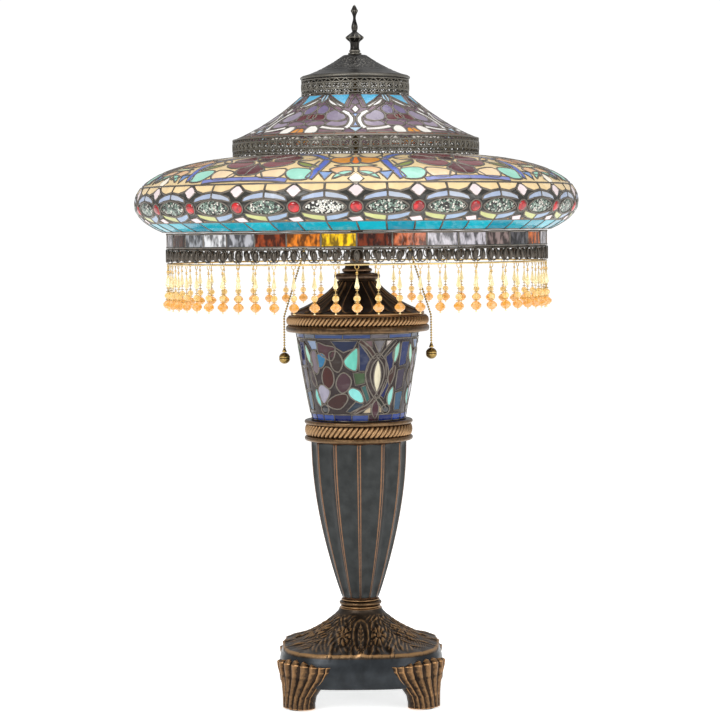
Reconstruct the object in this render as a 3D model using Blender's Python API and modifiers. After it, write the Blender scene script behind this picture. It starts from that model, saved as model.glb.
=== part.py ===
"""Table lamp with a leaded glass shade, a lit glass urn and a cast base.

Metres, +Z up. The origin is on the floor, under the lamp's upright axis, and the
front of the lamp faces -Y. Run with: blender --background --python part.py
"""

import math

import bmesh
import bpy
from mathutils import Matrix, Vector

# ---------------------------------------------------------------- clearances
GAP = 0.0003  # between two pieces that touch
BORE_PLAY = 0.0006  # round a rod or pipe that passes through a piece
SLIDE_PLAY = 0.0010  # round a pull chain where it leaves its spout

# ---------------------------------------------------------------- facets
STEPS = 36  # round the large turned pieces
MID_STEPS = 24  # round the neck, sockets and bulbs
SMALL_STEPS = 12  # round nuts, washers and pull balls
BEAD_STEPS = 4  # round one bead strand

# ---------------------------------------------------------------- base
PAD_RADIUS = 0.012
PAD_THICK = 0.0015
BASE_HEIGHT = 0.1025  # from the soles of the feet to the seat of the collar
BASE_HALF_WIDTH = 0.0945  # axis to the middle of one side of the skirt
BASE_SQUARENESS = 3.0  # superellipse exponent of the skirt's plan
BASE_WALL = 0.005
ARCH_HEIGHT = 0.0235  # under side of the skirt, above the soles
SKIRT_HEIGHT = 0.034  # upright part of the skirt
SKIRT_LEVELS = 3  # rings of the casting that belong to the skirt
CASTING_TOP_RADIUS = 0.0245
FOOT_COUNT = 4
FOOT_REACH = 0.100  # axis to the middle of a sole, along the diagonal
FOOT_SOLE_HALF_WIDTH = 0.022
FOOT_SOLE_HALF_DEPTH = 0.0155
FOOT_FAN_HALF_WIDTH = 0.041  # the shell fan that hugs the corner of the skirt
FOOT_FAN_HALF_DEPTH = 0.019
FOOT_FAN_REACH = 0.0905
COVER_THICK = 0.0015
BALLAST_RADIUS = 0.060
BALLAST_THICK = 0.015
BALLAST_HOLE_RADIUS = 0.012
INLET_RADIUS = 0.0055  # hole for the mains lead, in the back of the skirt
INLET_BORE_RADIUS = 0.0032
INLET_FLANGE_RADIUS = 0.0085
INLET_FLANGE_THICK = 0.0022
INLET_HEIGHT = 0.045

# ---------------------------------------------------------------- stem
PIPE_RADIUS = 0.0048
ROD_RADIUS = 0.0032
NUT_RADIUS = 0.0090
NUT_THICK = 0.006
WASHER_RADIUS = 0.015
WASHER_THICK = 0.0015
COLLAR_RADIUS = 0.0245
COLLAR_HEIGHT = 0.0105
COLUMN_HEIGHT = 0.1835
COLUMN_FOOT_RADIUS = 0.0205
COLUMN_HEAD_RADIUS = 0.0550
COLUMN_FLUTES = 12
COLUMN_WALL = 0.0160
COLUMN_FLUTE_SHARE = 0.10  # depth of a flute as a share of the radius there
ROPE_RING_RADIUS = 0.0630
ROPE_RING_HEIGHT = 0.0240
ROPE_RING_WALL = 0.0150
SEAT_DISC_THICK = 0.0030

# ---------------------------------------------------------------- urn
URN_HEIGHT = 0.1008
URN_FOOT_RADIUS = 0.0545
URN_HEAD_RADIUS = 0.0717
URN_SWELL = 0.0008  # how far the side bows out of straight
URN_WALL = 0.0035
RIM_RADIUS = 0.0830
RIM_HEIGHT = 0.0185
RIM_WALL = 0.0220
CAP_DOME_HEIGHT = 0.0400
CAP_DOME_FOOT_RADIUS = 0.0770
CAP_DOME_HEAD_RADIUS = 0.0215
CAP_DOME_WALL = 0.0035
NECK_HEIGHT = 0.0195
NECK_RADIUS = 0.0145
NECK_FLANGE_RADIUS = 0.0265
NECK_TUBE_LENGTH = 0.0600
NECK_TUBE_RADIUS = 0.0080
URN_LIGHT_OFFSET = 0.0300  # the small lamp stands this far behind the pipe
URN_LIGHT_LIFT = 0.0120  # its bracket above the seat disc
BRACKET_THICK = 0.0016
BRACKET_HALF_WIDTH = 0.0095
URN_SOCKET_RADIUS = 0.0105
URN_SOCKET_HEIGHT = 0.0250
URN_BULB_CAP_RADIUS = 0.0060
URN_BULB_CAP_HEIGHT = 0.0180
URN_BULB_RADIUS = 0.0110
URN_BULB_HEIGHT = 0.0420

# ---------------------------------------------------------------- light cluster
CLUSTER_RADIUS = 0.0200
CLUSTER_HEIGHT = 0.0360
SOCKET_RADIUS = 0.0175
SOCKET_LENGTH = 0.0480
SOCKET_CUP_DEPTH = 0.0270
BULB_CAP_RADIUS = 0.0130
BULB_CAP_LENGTH = 0.0250
BULB_RADIUS = 0.0240
BULB_LENGTH = 0.0800
SPOUT_RADIUS = 0.0045
SPOUT_LENGTH = 0.0110
SPOUT_OFFSET = 0.0265  # from the socket's inner end to the spout's axis
CHAIN_RADIUS = 0.0013
CHAIN_TILT_DEG = 17.5  # upper stretch of a pull chain, from upright
CHAIN_BEND_RADIUS = 0.0120
CHAIN_DROPS = {"left": 0.0360, "right": 0.0320}  # upright stretch, from bend to bell
BELL_RADIUS = 0.0026
BELL_HEIGHT = 0.0050
PULL_BALL_RADIUS = 0.0065

# ---------------------------------------------------------------- shade
# Heights here are measured down from the top of the shade's cap.
SHADE_TOP_ABOVE_CLUSTER = 0.1408
GLASS_WALL = 0.0030
METAL_WALL = 0.0025
CAP_CROWN_RADIUS = 0.0132
CAP_CROWN_THICK = 0.0020
CAP_LIP_RADIUS = 0.0620
CAP_DEPTH = 0.0280
UPPER_BAND_RADIUS = 0.0625
UPPER_BAND_HEIGHT = 0.0178
CONE_DEPTH = 0.0490
CONE_SAG = 0.0045
LOWER_BAND_RADIUS = 0.1420
LOWER_BAND_HEIGHT = 0.0190
DOME_RADIUS = 0.2545
SHOULDER_CENTRE_RADIUS = 0.1000
SHOULDER_HEIGHT = 0.0545
SHOULDER_EXPONENT = 2.2
LIP_CENTRE_RADIUS = 0.1500
LIP_HEIGHT = 0.0445
FLOWER_END_HEIGHT = 0.0190  # end of the flower glass, above the widest ring
MEDALLION_END_DROP = 0.0230  # end of the medallion band, below the widest ring
AMBER_BAND_RADIUS = 0.2190
AMBER_BAND_HEIGHT = 0.0172
TRIM_RADIUS = 0.2195
TRIM_HEIGHT = 0.0160
TRIM_WALL = 0.0040
SEAT_WASHER_THICK = 0.0022

# ---------------------------------------------------------------- fringe
STRAND_COUNT = 60
STRAND_RING_RADIUS = 0.2175
STRAND_WIRE_RADIUS = 0.0011
STRAND_LENGTH = 0.0545
LARGE_BEAD_RADIUS = 0.0062
SMALL_BEAD_RADIUS = 0.0038
DROP_BEAD_RADIUS = 0.0030

# ---------------------------------------------------------------- finial
FINIAL_HEIGHT = 0.0545
FINIAL_NECK_RADIUS = 0.0058
FINIAL_KNOB_RADIUS = 0.0110
FINIAL_BORE_DEPTH = 0.0125
FINIAL_WASHER_RADIUS = 0.0078
FINIAL_WASHER_THICK = 0.0026

# ---------------------------------------------------------------- stacked heights
SOLE_Z = PAD_THICK + GAP
BASE_TOP_Z = SOLE_Z + BASE_HEIGHT
SKIRT_BOTTOM_Z = SOLE_Z + ARCH_HEIGHT
SKIRT_TOP_Z = SKIRT_BOTTOM_Z + SKIRT_HEIGHT
COLLAR_Z = BASE_TOP_Z + GAP
COLUMN_Z = COLLAR_Z + COLLAR_HEIGHT + GAP
ROPE_RING_Z = COLUMN_Z + COLUMN_HEIGHT + GAP
URN_Z = ROPE_RING_Z + ROPE_RING_HEIGHT + GAP
RIM_Z = URN_Z + URN_HEIGHT + GAP
CAP_DOME_Z = RIM_Z + RIM_HEIGHT + GAP
NECK_Z = CAP_DOME_Z + CAP_DOME_HEIGHT + GAP
NECK_TUBE_Z = NECK_Z + NECK_HEIGHT + GAP
CLUSTER_Z = NECK_TUBE_Z + NECK_TUBE_LENGTH + GAP
SOCKET_AXIS_Z = CLUSTER_Z + CLUSTER_HEIGHT / 2
SHADE_TOP_Z = CLUSTER_Z + CLUSTER_HEIGHT + SHADE_TOP_ABOVE_CLUSTER
PIPE_TOP_Z = CLUSTER_Z - GAP
ROD_TOP_Z = SHADE_TOP_Z + FINIAL_WASHER_THICK + FINIAL_BORE_DEPTH - 0.002

PIPE_BORE = PIPE_RADIUS + BORE_PLAY
ROD_BORE = ROD_RADIUS + BORE_PLAY
WALLS = (0.0, GLASS_WALL)  # insets of a glass panel's two faces

PARTS = "mosaic_glass_table_lamp"
CUTTERS = "construction"


# ---------------------------------------------------------------- set-up
def clear_scene():
    for obj in list(bpy.data.objects):
        bpy.data.objects.remove(obj, do_unlink=True)


def collection(name):
    """The collection of this name, linked to the scene on first use."""
    found = bpy.data.collections.get(name)
    if found is None:
        found = bpy.data.collections.new(name)
        bpy.context.scene.collection.children.link(found)
    return found


def linear(channel):
    """One sRGB channel (0-1) as linear light."""
    if channel <= 0.04045:
        return channel / 12.92
    return ((channel + 0.055) / 1.055) ** 2.4


def finish(name, hex_colour, roughness, metallic=0.0, alpha=1.0):
    """A material of one colour, roughness and metallic value."""
    made = bpy.data.materials.new(name)
    made.use_nodes = True
    shader = made.node_tree.nodes["Principled BSDF"]
    value = int(hex_colour.lstrip("#"), 16)
    channels = [linear(((value >> shift) & 255) / 255) for shift in (16, 8, 0)]
    shader.inputs["Base Color"].default_value = (*channels, 1.0)
    shader.inputs["Roughness"].default_value = roughness
    shader.inputs["Metallic"].default_value = metallic
    shader.inputs["Alpha"].default_value = alpha
    return made


FINISHES = {
    "bronze": ("#2b2624", 0.42, 0.85),
    "copper": ("#8a5a3c", 0.38, 0.90),
    "pewter": ("#4a4946", 0.45, 0.85),
    "came": ("#6f685e", 0.50, 0.70),
    "steel": ("#9a9b9c", 0.35, 1.00),
    "brass": ("#a8884a", 0.35, 1.00),
    "rubber": ("#1b1b1c", 0.85, 0.00),
    "iron": ("#3a3a3b", 0.75, 0.60),
    "porcelain": ("#d9d6cd", 0.40, 0.00),
    "phenolic": ("#20201f", 0.45, 0.00),
    "cone_glass": ("#8a9fc4", 0.15, 0.00, 0.80),
    "flower_glass": ("#b9a57c", 0.15, 0.00, 0.80),
    "medallion_glass": ("#d9d2bd", 0.15, 0.00, 0.80),
    "turquoise_glass": ("#1f9aa6", 0.12, 0.00, 0.80),
    "amber_glass": ("#8a4a18", 0.15, 0.00, 0.80),
    "urn_glass": ("#1f2f63", 0.12, 0.00, 0.85),
    "bulb_glass": ("#f6efdd", 0.20, 0.00, 0.60),
    "bead_glass": ("#e0a653", 0.08, 0.00, 0.70),
}


def add(obj, finish_key, group=PARTS):
    """Links an object to its collection and gives it a finish of its own."""
    collection(group).objects.link(obj)
    if finish_key:
        obj.data.materials.append(finish(obj.name + "_finish", *FINISHES[finish_key]))
    return obj


def anchor(name, height):
    """An empty on the lamp's axis that moving or stacked pieces hang from."""
    obj = bpy.data.objects.new(name, None)
    obj.location = (0, 0, height)
    obj.empty_display_size = 0.02
    collection(PARTS).objects.link(obj)
    return obj


def as_cutter(obj):
    obj.hide_render = True
    obj.display_type = "WIRE"
    return obj


# ---------------------------------------------------------------- shapes
def turned(name, profile, finish_key, steps, closed=False, group=PARTS):
    """A profile of (radius, height), top to bottom down its outer side, turned about Z."""
    mesh = bpy.data.meshes.new(name)
    points = [(radius, 0.0, height) for radius, height in profile]
    edges = [(i, i + 1) for i in range(len(points) - 1)]
    if closed:
        edges.append((len(points) - 1, 0))
    mesh.from_pydata(points, edges, [])
    obj = add(bpy.data.objects.new(name, mesh), finish_key, group)
    screw = obj.modifiers.new("Turn", "SCREW")
    screw.axis = "Z"
    screw.angle = math.tau
    screw.steps = steps
    screw.render_steps = steps
    screw.use_merge_vertices = True
    screw.merge_threshold = 0.00001
    screw.use_smooth_shade = True
    return obj


def turned_shell(name, profile, wall, finish_key, steps):
    """An open outer profile turned about Z, with its wall grown inwards."""
    obj = turned(name, profile, finish_key, steps)
    solidify = obj.modifiers.new("Wall", "SOLIDIFY")
    solidify.thickness = wall
    solidify.offset = -1.0
    solidify.use_even_offset = True
    return obj


def washer_profile(outer, inner, bottom, top):
    """The closed outline of a plain ring."""
    return [(outer, top), (outer, bottom), (inner, bottom), (inner, top)]


def arc(centre, half_sizes, exponent, start_deg, end_deg, count):
    """Points (radius, height) along a superellipse, counted anticlockwise from +radius."""
    points = []
    for i in range(count):
        turn = math.radians(start_deg + (end_deg - start_deg) * i / (count - 1))
        cosine, sine = math.cos(turn), math.sin(turn)
        along = math.copysign(abs(cosine) ** (2 / exponent), cosine)
        up = math.copysign(abs(sine) ** (2 / exponent), sine)
        points.append((centre[0] + half_sizes[0] * along, centre[1] + half_sizes[1] * up))
    return points


def plan_ring(half_sizes, exponent, height, count, centre=(0.0, 0.0), turn=0.0):
    """A level closed curve of superellipse plan, turned about its own centre's origin."""
    ring = []
    for i in range(count):
        angle = math.tau * i / count
        cosine, sine = math.cos(angle), math.sin(angle)
        along = math.copysign(abs(cosine) ** (2 / exponent), cosine) * half_sizes[0]
        across = math.copysign(abs(sine) ** (2 / exponent), sine) * half_sizes[1]
        point = Vector((centre[0] + along, centre[1] + across, height))
        ring.append(Matrix.Rotation(turn, 3, "Z") @ point)
    return ring


def lofted(name, rings, finish_key, group=PARTS):
    """A solid skinned over level rings of equal count, given from the bottom up."""
    shape = bmesh.new()
    loops = [[shape.verts.new(point) for point in ring] for ring in rings]
    count = len(loops[0])
    for lower, upper in zip(loops, loops[1:]):
        for i in range(count):
            j = (i + 1) % count
            shape.faces.new((lower[i], lower[j], upper[j], upper[i]))
    shape.faces.new(list(reversed(loops[0])))
    shape.faces.new(loops[-1])
    mesh = bpy.data.meshes.new(name)
    shape.to_mesh(mesh)
    shape.free()
    mesh.shade_smooth()
    mesh.set_sharp_from_angle(angle=math.radians(35))
    return add(bpy.data.objects.new(name, mesh), finish_key, group)


def cylinder(name, radius, depth, finish_key, steps, group=PARTS):
    """A solid cylinder about its own Z, its middle at its origin."""
    shape = bmesh.new()
    bmesh.ops.create_cone(
        shape, cap_ends=True, segments=steps, radius1=radius, radius2=radius, depth=depth
    )
    mesh = bpy.data.meshes.new(name)
    shape.to_mesh(mesh)
    shape.free()
    mesh.shade_smooth()
    mesh.set_sharp_from_angle(angle=math.radians(40))
    return add(bpy.data.objects.new(name, mesh), finish_key, group)


def combine(target, other, operation):
    """A Boolean of one object with a helper from the construction collection."""
    modifier = target.modifiers.new(operation.title(), "BOOLEAN")
    modifier.operation = operation
    modifier.object = as_cutter(other)
    modifier.solver = "EXACT"


def drill(target, radius, bottom, top, steps=MID_STEPS):
    """A round hole about the lamp's axis."""
    cutter = cylinder(target.name + "_drill", radius, top - bottom, None, steps, CUTTERS)
    cutter.location = (0, 0, (top + bottom) / 2)
    combine(target, cutter, "DIFFERENCE")


def hex_nut(name, bore, bottom, top):
    """A hexagonal brass nut about the lamp's axis."""
    nut = cylinder(name, NUT_RADIUS, top - bottom, "brass", 6)
    nut.location = (0, 0, (top + bottom) / 2)
    drill(nut, bore, bottom - 0.01, top + 0.01, SMALL_STEPS)
    return nut


# ---------------------------------------------------------------- base
def flare(inset):
    """(half width, squareness, height) up the casting from the skirt's top to its seat."""
    reach = BASE_HALF_WIDTH - 0.0055 - CASTING_TOP_RADIUS
    rise = BASE_TOP_Z - SKIRT_TOP_Z - 0.004
    centre = (CASTING_TOP_RADIUS + reach, BASE_TOP_Z)
    levels = []
    for radius, height in reversed(arc(centre, (reach, rise), 1.4, 180, 268, 9)):
        share = (radius - CASTING_TOP_RADIUS) / reach
        squareness = 2.0 + (BASE_SQUARENESS - 2.0) * share**2
        levels.append((radius - inset, squareness, height - inset * (1.0 - share * 0.3)))
    return levels


def foot_rings(turn):
    """Rings of one foot, from its sole up to the top of its shell fan."""
    stations = (
        (0.000, FOOT_REACH, FOOT_SOLE_HALF_DEPTH, FOOT_SOLE_HALF_WIDTH),
        (0.018, FOOT_REACH - 0.003, FOOT_SOLE_HALF_DEPTH, FOOT_SOLE_HALF_WIDTH + 0.003),
        (0.036, FOOT_FAN_REACH, FOOT_FAN_HALF_DEPTH, FOOT_FAN_HALF_WIDTH - 0.005),
        (0.048, FOOT_FAN_REACH, FOOT_FAN_HALF_DEPTH, FOOT_FAN_HALF_WIDTH),
        (0.055, FOOT_FAN_REACH - 0.002, FOOT_FAN_HALF_DEPTH - 0.003, FOOT_FAN_HALF_WIDTH - 0.012),
    )
    return [
        plan_ring((depth, width), 2.2, SOLE_Z + height, 16, (reach, 0.0), turn)
        for height, reach, depth, width in stations
    ]


def foot_turn(index):
    return math.tau * (index + 0.5) / FOOT_COUNT


def casting_rings(grow):
    """Outer rings of the casting from its lower edge up, grown by a clearance."""
    skirt = [
        (BASE_HALF_WIDTH + grow, BASE_SQUARENESS, SKIRT_BOTTOM_Z - grow),
        (BASE_HALF_WIDTH + grow, BASE_SQUARENESS, SKIRT_TOP_Z - 0.016),
        (BASE_HALF_WIDTH - 0.004 + grow, BASE_SQUARENESS, SKIRT_TOP_Z),
    ]
    return [plan_ring((w, w), n, z, STEPS) for w, n, z in skirt + flare(-grow)]


def shell_feet():
    """Four shell feet that carry the casting and hug the corners of its skirt."""
    core = lofted("skirt_core", casting_rings(GAP), None, CUTTERS)
    for index in range(FOOT_COUNT):
        foot = lofted(f"foot_casting_{index + 1}", foot_rings(foot_turn(index)), "bronze")
        combine(foot, core, "DIFFERENCE")


def base_casting():
    """Hollow base in two castings: a square skirt and the flared top that sits on it."""
    rings = casting_rings(0.0)
    skirt = lofted("base_skirt", rings[:SKIRT_LEVELS], "bronze")
    seat = [point + Vector((0, 0, GAP)) for point in rings[SKIRT_LEVELS - 1]]
    casting = lofted("base_casting", [seat] + rings[SKIRT_LEVELS:], "bronze")
    inner_width = BASE_HALF_WIDTH - BASE_WALL
    hollow = [
        (inner_width, BASE_SQUARENESS, SKIRT_BOTTOM_Z),
        (inner_width, BASE_SQUARENESS, SKIRT_TOP_Z - 0.016),
        (inner_width - 0.004, BASE_SQUARENESS, SKIRT_TOP_Z - BASE_WALL),
    ]
    hollow += [level for level in flare(BASE_WALL) if level[2] < BASE_TOP_Z - 0.012]
    cavity = [plan_ring((w, w), n, z, STEPS) for w, n, z in hollow]
    for number, shell in enumerate((skirt, casting)):
        name = f"base_cavity_{number + 1}"
        combine(shell, lofted(name, cavity, None, CUTTERS), "DIFFERENCE")
    inlet = cylinder("inlet_drill", INLET_RADIUS + GAP, 0.03, None, SMALL_STEPS, CUTTERS)
    inlet.location = (0, BASE_HALF_WIDTH - BASE_WALL / 2, INLET_HEIGHT)
    inlet.rotation_euler = (math.pi / 2, 0, 0)
    combine(skirt, inlet, "DIFFERENCE")
    drill(casting, PIPE_BORE, BASE_TOP_Z - 0.03, BASE_TOP_Z + 0.01)
    return hollow[-1][2]


def base_fittings(cavity_top_z):
    """Bottom cover, ballast, soles, lead inlet and the nut that clamps the pipe."""
    cover_z = SKIRT_BOTTOM_Z + GAP
    cover_width = BASE_HALF_WIDTH - BASE_WALL - GAP * 2
    rings = [
        plan_ring((cover_width, cover_width), BASE_SQUARENESS, z, STEPS)
        for z in (cover_z, cover_z + COVER_THICK)
    ]
    cover = lofted("bottom_cover", rings, "steel")
    drill(cover, BALLAST_HOLE_RADIUS, cover_z - 0.01, cover_z + 0.01)
    ballast_z = cover_z + COVER_THICK + GAP
    turned(
        "ballast_disc",
        washer_profile(BALLAST_RADIUS, BALLAST_HOLE_RADIUS, ballast_z, ballast_z + BALLAST_THICK),
        "iron",
        MID_STEPS,
        closed=True,
    )
    for index in range(FOOT_COUNT):
        turn = foot_turn(index)
        pad = cylinder(f"foot_pad_{index + 1}", PAD_RADIUS, PAD_THICK, "rubber", SMALL_STEPS)
        reach = FOOT_REACH
        pad.location = (reach * math.cos(turn), reach * math.sin(turn), PAD_THICK / 2)
    inlet_profile = [
        (INLET_FLANGE_RADIUS, INLET_FLANGE_THICK + GAP),
        (INLET_FLANGE_RADIUS, GAP),
        (INLET_RADIUS, GAP),
        (INLET_RADIUS, -BASE_WALL - 0.002),
        (INLET_BORE_RADIUS, -BASE_WALL - 0.002),
        (INLET_BORE_RADIUS, INLET_FLANGE_THICK + GAP),
    ]
    bushing = turned("lead_inlet_bushing", inlet_profile, "rubber", SMALL_STEPS, closed=True)
    bushing.location = (0, BASE_HALF_WIDTH, INLET_HEIGHT)
    bushing.rotation_euler = (-math.pi / 2, 0, 0)
    washer_top = cavity_top_z - GAP
    washer_bottom = washer_top - WASHER_THICK
    turned(
        "base_clamp_washer",
        washer_profile(WASHER_RADIUS, PIPE_BORE, washer_bottom, washer_top),
        "steel",
        SMALL_STEPS,
        closed=True,
    )
    nut_top = washer_bottom - GAP
    hex_nut("base_clamp_nut", PIPE_BORE, nut_top - NUT_THICK, nut_top)
    return nut_top - NUT_THICK - 0.004


# ---------------------------------------------------------------- stem
def column_radius(share):
    """Radius of the fluted column's ribs, from its foot (0) to its head (1)."""
    swell = math.sin(math.pi / 2 * share) ** 0.9
    return COLUMN_FOOT_RADIUS + (COLUMN_HEAD_RADIUS - COLUMN_FOOT_RADIUS) * swell


def fluted_column():
    """Trumpet-shaped column with concave flutes between sharp ribs."""
    per_flute = 4
    count = COLUMN_FLUTES * per_flute
    levels = 11
    rings = []
    for level in range(levels):
        share = level / (levels - 1)
        rib = column_radius(max(share, 0.02))
        ring = []
        for i in range(count):
            across = (i % per_flute) / per_flute
            radius = rib * (1.0 - COLUMN_FLUTE_SHARE * math.sin(math.pi * across))
            turn = math.tau * i / count - math.pi / 2
            height = COLUMN_Z + COLUMN_HEIGHT * share
            ring.append(Vector((radius * math.cos(turn), radius * math.sin(turn), height)))
        rings.append(ring)
    column = lofted("fluted_column", rings, "bronze")
    core = []
    for level in range(1, levels):
        share = level / levels
        radius = column_radius(share) - COLUMN_WALL
        core.append(plan_ring((radius, radius), 2, COLUMN_Z + COLUMN_HEIGHT * share, MID_STEPS))
    combine(column, lofted("column_core", core, None, CUTTERS), "DIFFERENCE")
    drill(column, PIPE_BORE, COLUMN_Z - 0.01, COLUMN_Z + COLUMN_HEIGHT + 0.01, SMALL_STEPS)


def stem(pipe_bottom_z):
    """Collar, column, rope ring and the pipe that ties the lamp together."""
    middle = COLLAR_Z + COLLAR_HEIGHT / 2
    collar = [(PIPE_BORE, COLLAR_Z + COLLAR_HEIGHT)]
    collar += arc(
        (COLLAR_RADIUS - COLLAR_HEIGHT / 2, middle),
        (COLLAR_HEIGHT / 2, COLLAR_HEIGHT / 2),
        2.6, 90, -90, 5,
    )
    collar.append((PIPE_BORE, COLLAR_Z))
    turned("collar_ring", collar, "copper", MID_STEPS, closed=True)
    fluted_column()
    inner = ROPE_RING_RADIUS - ROPE_RING_WALL
    rope = [(inner, ROPE_RING_Z + ROPE_RING_HEIGHT)]
    rope += arc(
        (ROPE_RING_RADIUS - 0.006, ROPE_RING_Z + ROPE_RING_HEIGHT / 2),
        (0.006, ROPE_RING_HEIGHT / 2),
        2.6, 90, -90, 5,
    )
    rope.append((inner, ROPE_RING_Z))
    turned("rope_ring", rope, "copper", STEPS, closed=True)
    disc_z = ROPE_RING_Z + 0.004
    turned(
        "urn_seat_disc",
        washer_profile(inner - GAP, PIPE_BORE, disc_z, disc_z + SEAT_DISC_THICK),
        "steel",
        MID_STEPS,
        closed=True,
    )
    turned(
        "centre_pipe",
        washer_profile(PIPE_RADIUS, PIPE_RADIUS - 0.0012, pipe_bottom_z, PIPE_TOP_Z),
        "steel",
        SMALL_STEPS,
        closed=True,
    )
    return disc_z + SEAT_DISC_THICK


# ---------------------------------------------------------------- urn
def urn_radius(share):
    """Outer radius of the urn glass, from its foot (0) to its head (1)."""
    bow = 4 * share * (1 - share) * URN_SWELL
    return URN_FOOT_RADIUS + (URN_HEAD_RADIUS - URN_FOOT_RADIUS) * share + bow


def urn():
    """Urn glass, rope rim, embossed cap and turned neck."""
    shares = [i / 4 for i in range(4, -1, -1)]
    outer = [(urn_radius(share), URN_Z + URN_HEIGHT * share) for share in shares]
    inner = [(radius - URN_WALL, height) for radius, height in reversed(outer)]
    turned("urn_glass", outer + inner, "urn_glass", STEPS, closed=True)
    rim_inner = RIM_RADIUS - RIM_WALL
    rim = [(rim_inner, RIM_Z + RIM_HEIGHT)]
    rim += arc(
        (RIM_RADIUS - 0.007, RIM_Z + RIM_HEIGHT / 2), (0.007, RIM_HEIGHT / 2), 2.6, 90, -90, 5
    )
    rim.append((rim_inner, RIM_Z))
    turned("rope_rim", rim, "copper", STEPS, closed=True)
    reach = CAP_DOME_FOOT_RADIUS - CAP_DOME_HEAD_RADIUS
    top = CAP_DOME_Z + CAP_DOME_HEIGHT
    dome = arc((CAP_DOME_FOOT_RADIUS, top), (reach, CAP_DOME_HEIGHT - 0.003), 1.35, 180, 270, 6)
    dome.append((CAP_DOME_FOOT_RADIUS, CAP_DOME_Z))
    under = [
        (radius - CAP_DOME_WALL, height - CAP_DOME_WALL)
        for radius, height in reversed(dome[1:-2])
    ]
    outline = [(PIPE_BORE, top)] + dome + [(dome[-2][0] - 0.012, CAP_DOME_Z)]
    outline += under + [(PIPE_BORE, under[-1][1])]
    turned("urn_cap", outline, "bronze", STEPS, closed=True)
    neck = [
        (PIPE_BORE, NECK_Z + NECK_HEIGHT),
        (NECK_RADIUS, NECK_Z + NECK_HEIGHT),
        (NECK_RADIUS, NECK_Z + 0.0155),
        (NECK_RADIUS + 0.002, NECK_Z + 0.0135),
        (NECK_RADIUS + 0.0018, NECK_Z + 0.0088),
        (NECK_RADIUS, NECK_Z + 0.0075),
        (NECK_FLANGE_RADIUS - 0.002, NECK_Z + 0.0070),
        (NECK_FLANGE_RADIUS, NECK_Z + 0.0040),
        (NECK_FLANGE_RADIUS - 0.002, NECK_Z + 0.0010),
        (CAP_DOME_HEAD_RADIUS, NECK_Z),
        (PIPE_BORE, NECK_Z),
    ]
    turned("turned_neck", neck, "bronze", MID_STEPS, closed=True)
    turned(
        "neck_tube",
        washer_profile(
            NECK_TUBE_RADIUS, PIPE_BORE, NECK_TUBE_Z, NECK_TUBE_Z + NECK_TUBE_LENGTH
        ),
        "bronze",
        MID_STEPS,
        closed=True,
    )


def outline_plate(name, splines, thick, finish_key):
    """A flat plate from level closed outlines; an outline inside another is a hole."""
    curve = bpy.data.curves.new(name, "CURVE")
    curve.dimensions = "2D"
    curve.fill_mode = "BOTH"
    curve.extrude = thick / 2
    for points in splines:
        spline = curve.splines.new("POLY")
        spline.points.add(len(points) - 1)
        spline.use_cyclic_u = True
        for target, (x, y) in zip(spline.points, points):
            target.co = (x, y, 0.0, 1.0)
    return add(bpy.data.objects.new(name, curve), finish_key)


def urn_light(seat_top_z):
    """Bracket, small socket and bulb that light the urn from inside."""
    bracket_z = seat_top_z + URN_LIGHT_LIFT
    half = BRACKET_HALF_WIDTH
    outline = []
    for i in range(9):
        turn = math.pi * (1 + i / 8)
        outline.append((half * math.cos(turn), half * math.sin(turn)))
    for i in range(9):
        turn = math.pi * i / 8
        outline.append((half * math.cos(turn), URN_LIGHT_OFFSET + half * math.sin(turn)))
    hole = [
        (PIPE_BORE * math.cos(math.tau * i / 12), PIPE_BORE * math.sin(math.tau * i / 12))
        for i in range(12)
    ]
    bracket = outline_plate("urn_socket_bracket", (outline, hole), BRACKET_THICK, "brass")
    bracket.location = (0, 0, bracket_z)
    light = anchor("urn_light_origin", bracket_z + BRACKET_THICK / 2 + GAP)
    light.location.y = URN_LIGHT_OFFSET
    cup_floor = URN_SOCKET_HEIGHT - URN_BULB_CAP_HEIGHT - GAP
    cup_radius = URN_BULB_CAP_RADIUS + BORE_PLAY
    socket = [
        (cup_radius, URN_SOCKET_HEIGHT),
        (URN_SOCKET_RADIUS, URN_SOCKET_HEIGHT),
        (URN_SOCKET_RADIUS, 0.0),
        (0.0, 0.0),
    ]
    socket = [(0.0, cup_floor), (cup_radius, cup_floor)] + socket
    turned("urn_socket", socket, "porcelain", MID_STEPS).parent = light
    cap_top = cup_floor + GAP + URN_BULB_CAP_HEIGHT
    cap = [
        (0.0, cap_top),
        (URN_BULB_CAP_RADIUS, cap_top),
        (URN_BULB_CAP_RADIUS, cup_floor + GAP + 0.002),
        (0.0, cup_floor + GAP),
    ]
    turned("urn_bulb_cap", cap, "brass", SMALL_STEPS).parent = light
    glass_foot = cap_top + GAP
    middle = glass_foot + URN_BULB_HEIGHT * 0.42
    glass = arc((0.0, middle), (URN_BULB_RADIUS, URN_BULB_HEIGHT * 0.58), 1.8, 90, 0, 5)
    glass += [(URN_BULB_CAP_RADIUS, glass_foot), (0.0, glass_foot)]
    turned("urn_bulb_glass", glass, "bulb_glass", SMALL_STEPS).parent = light


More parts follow.
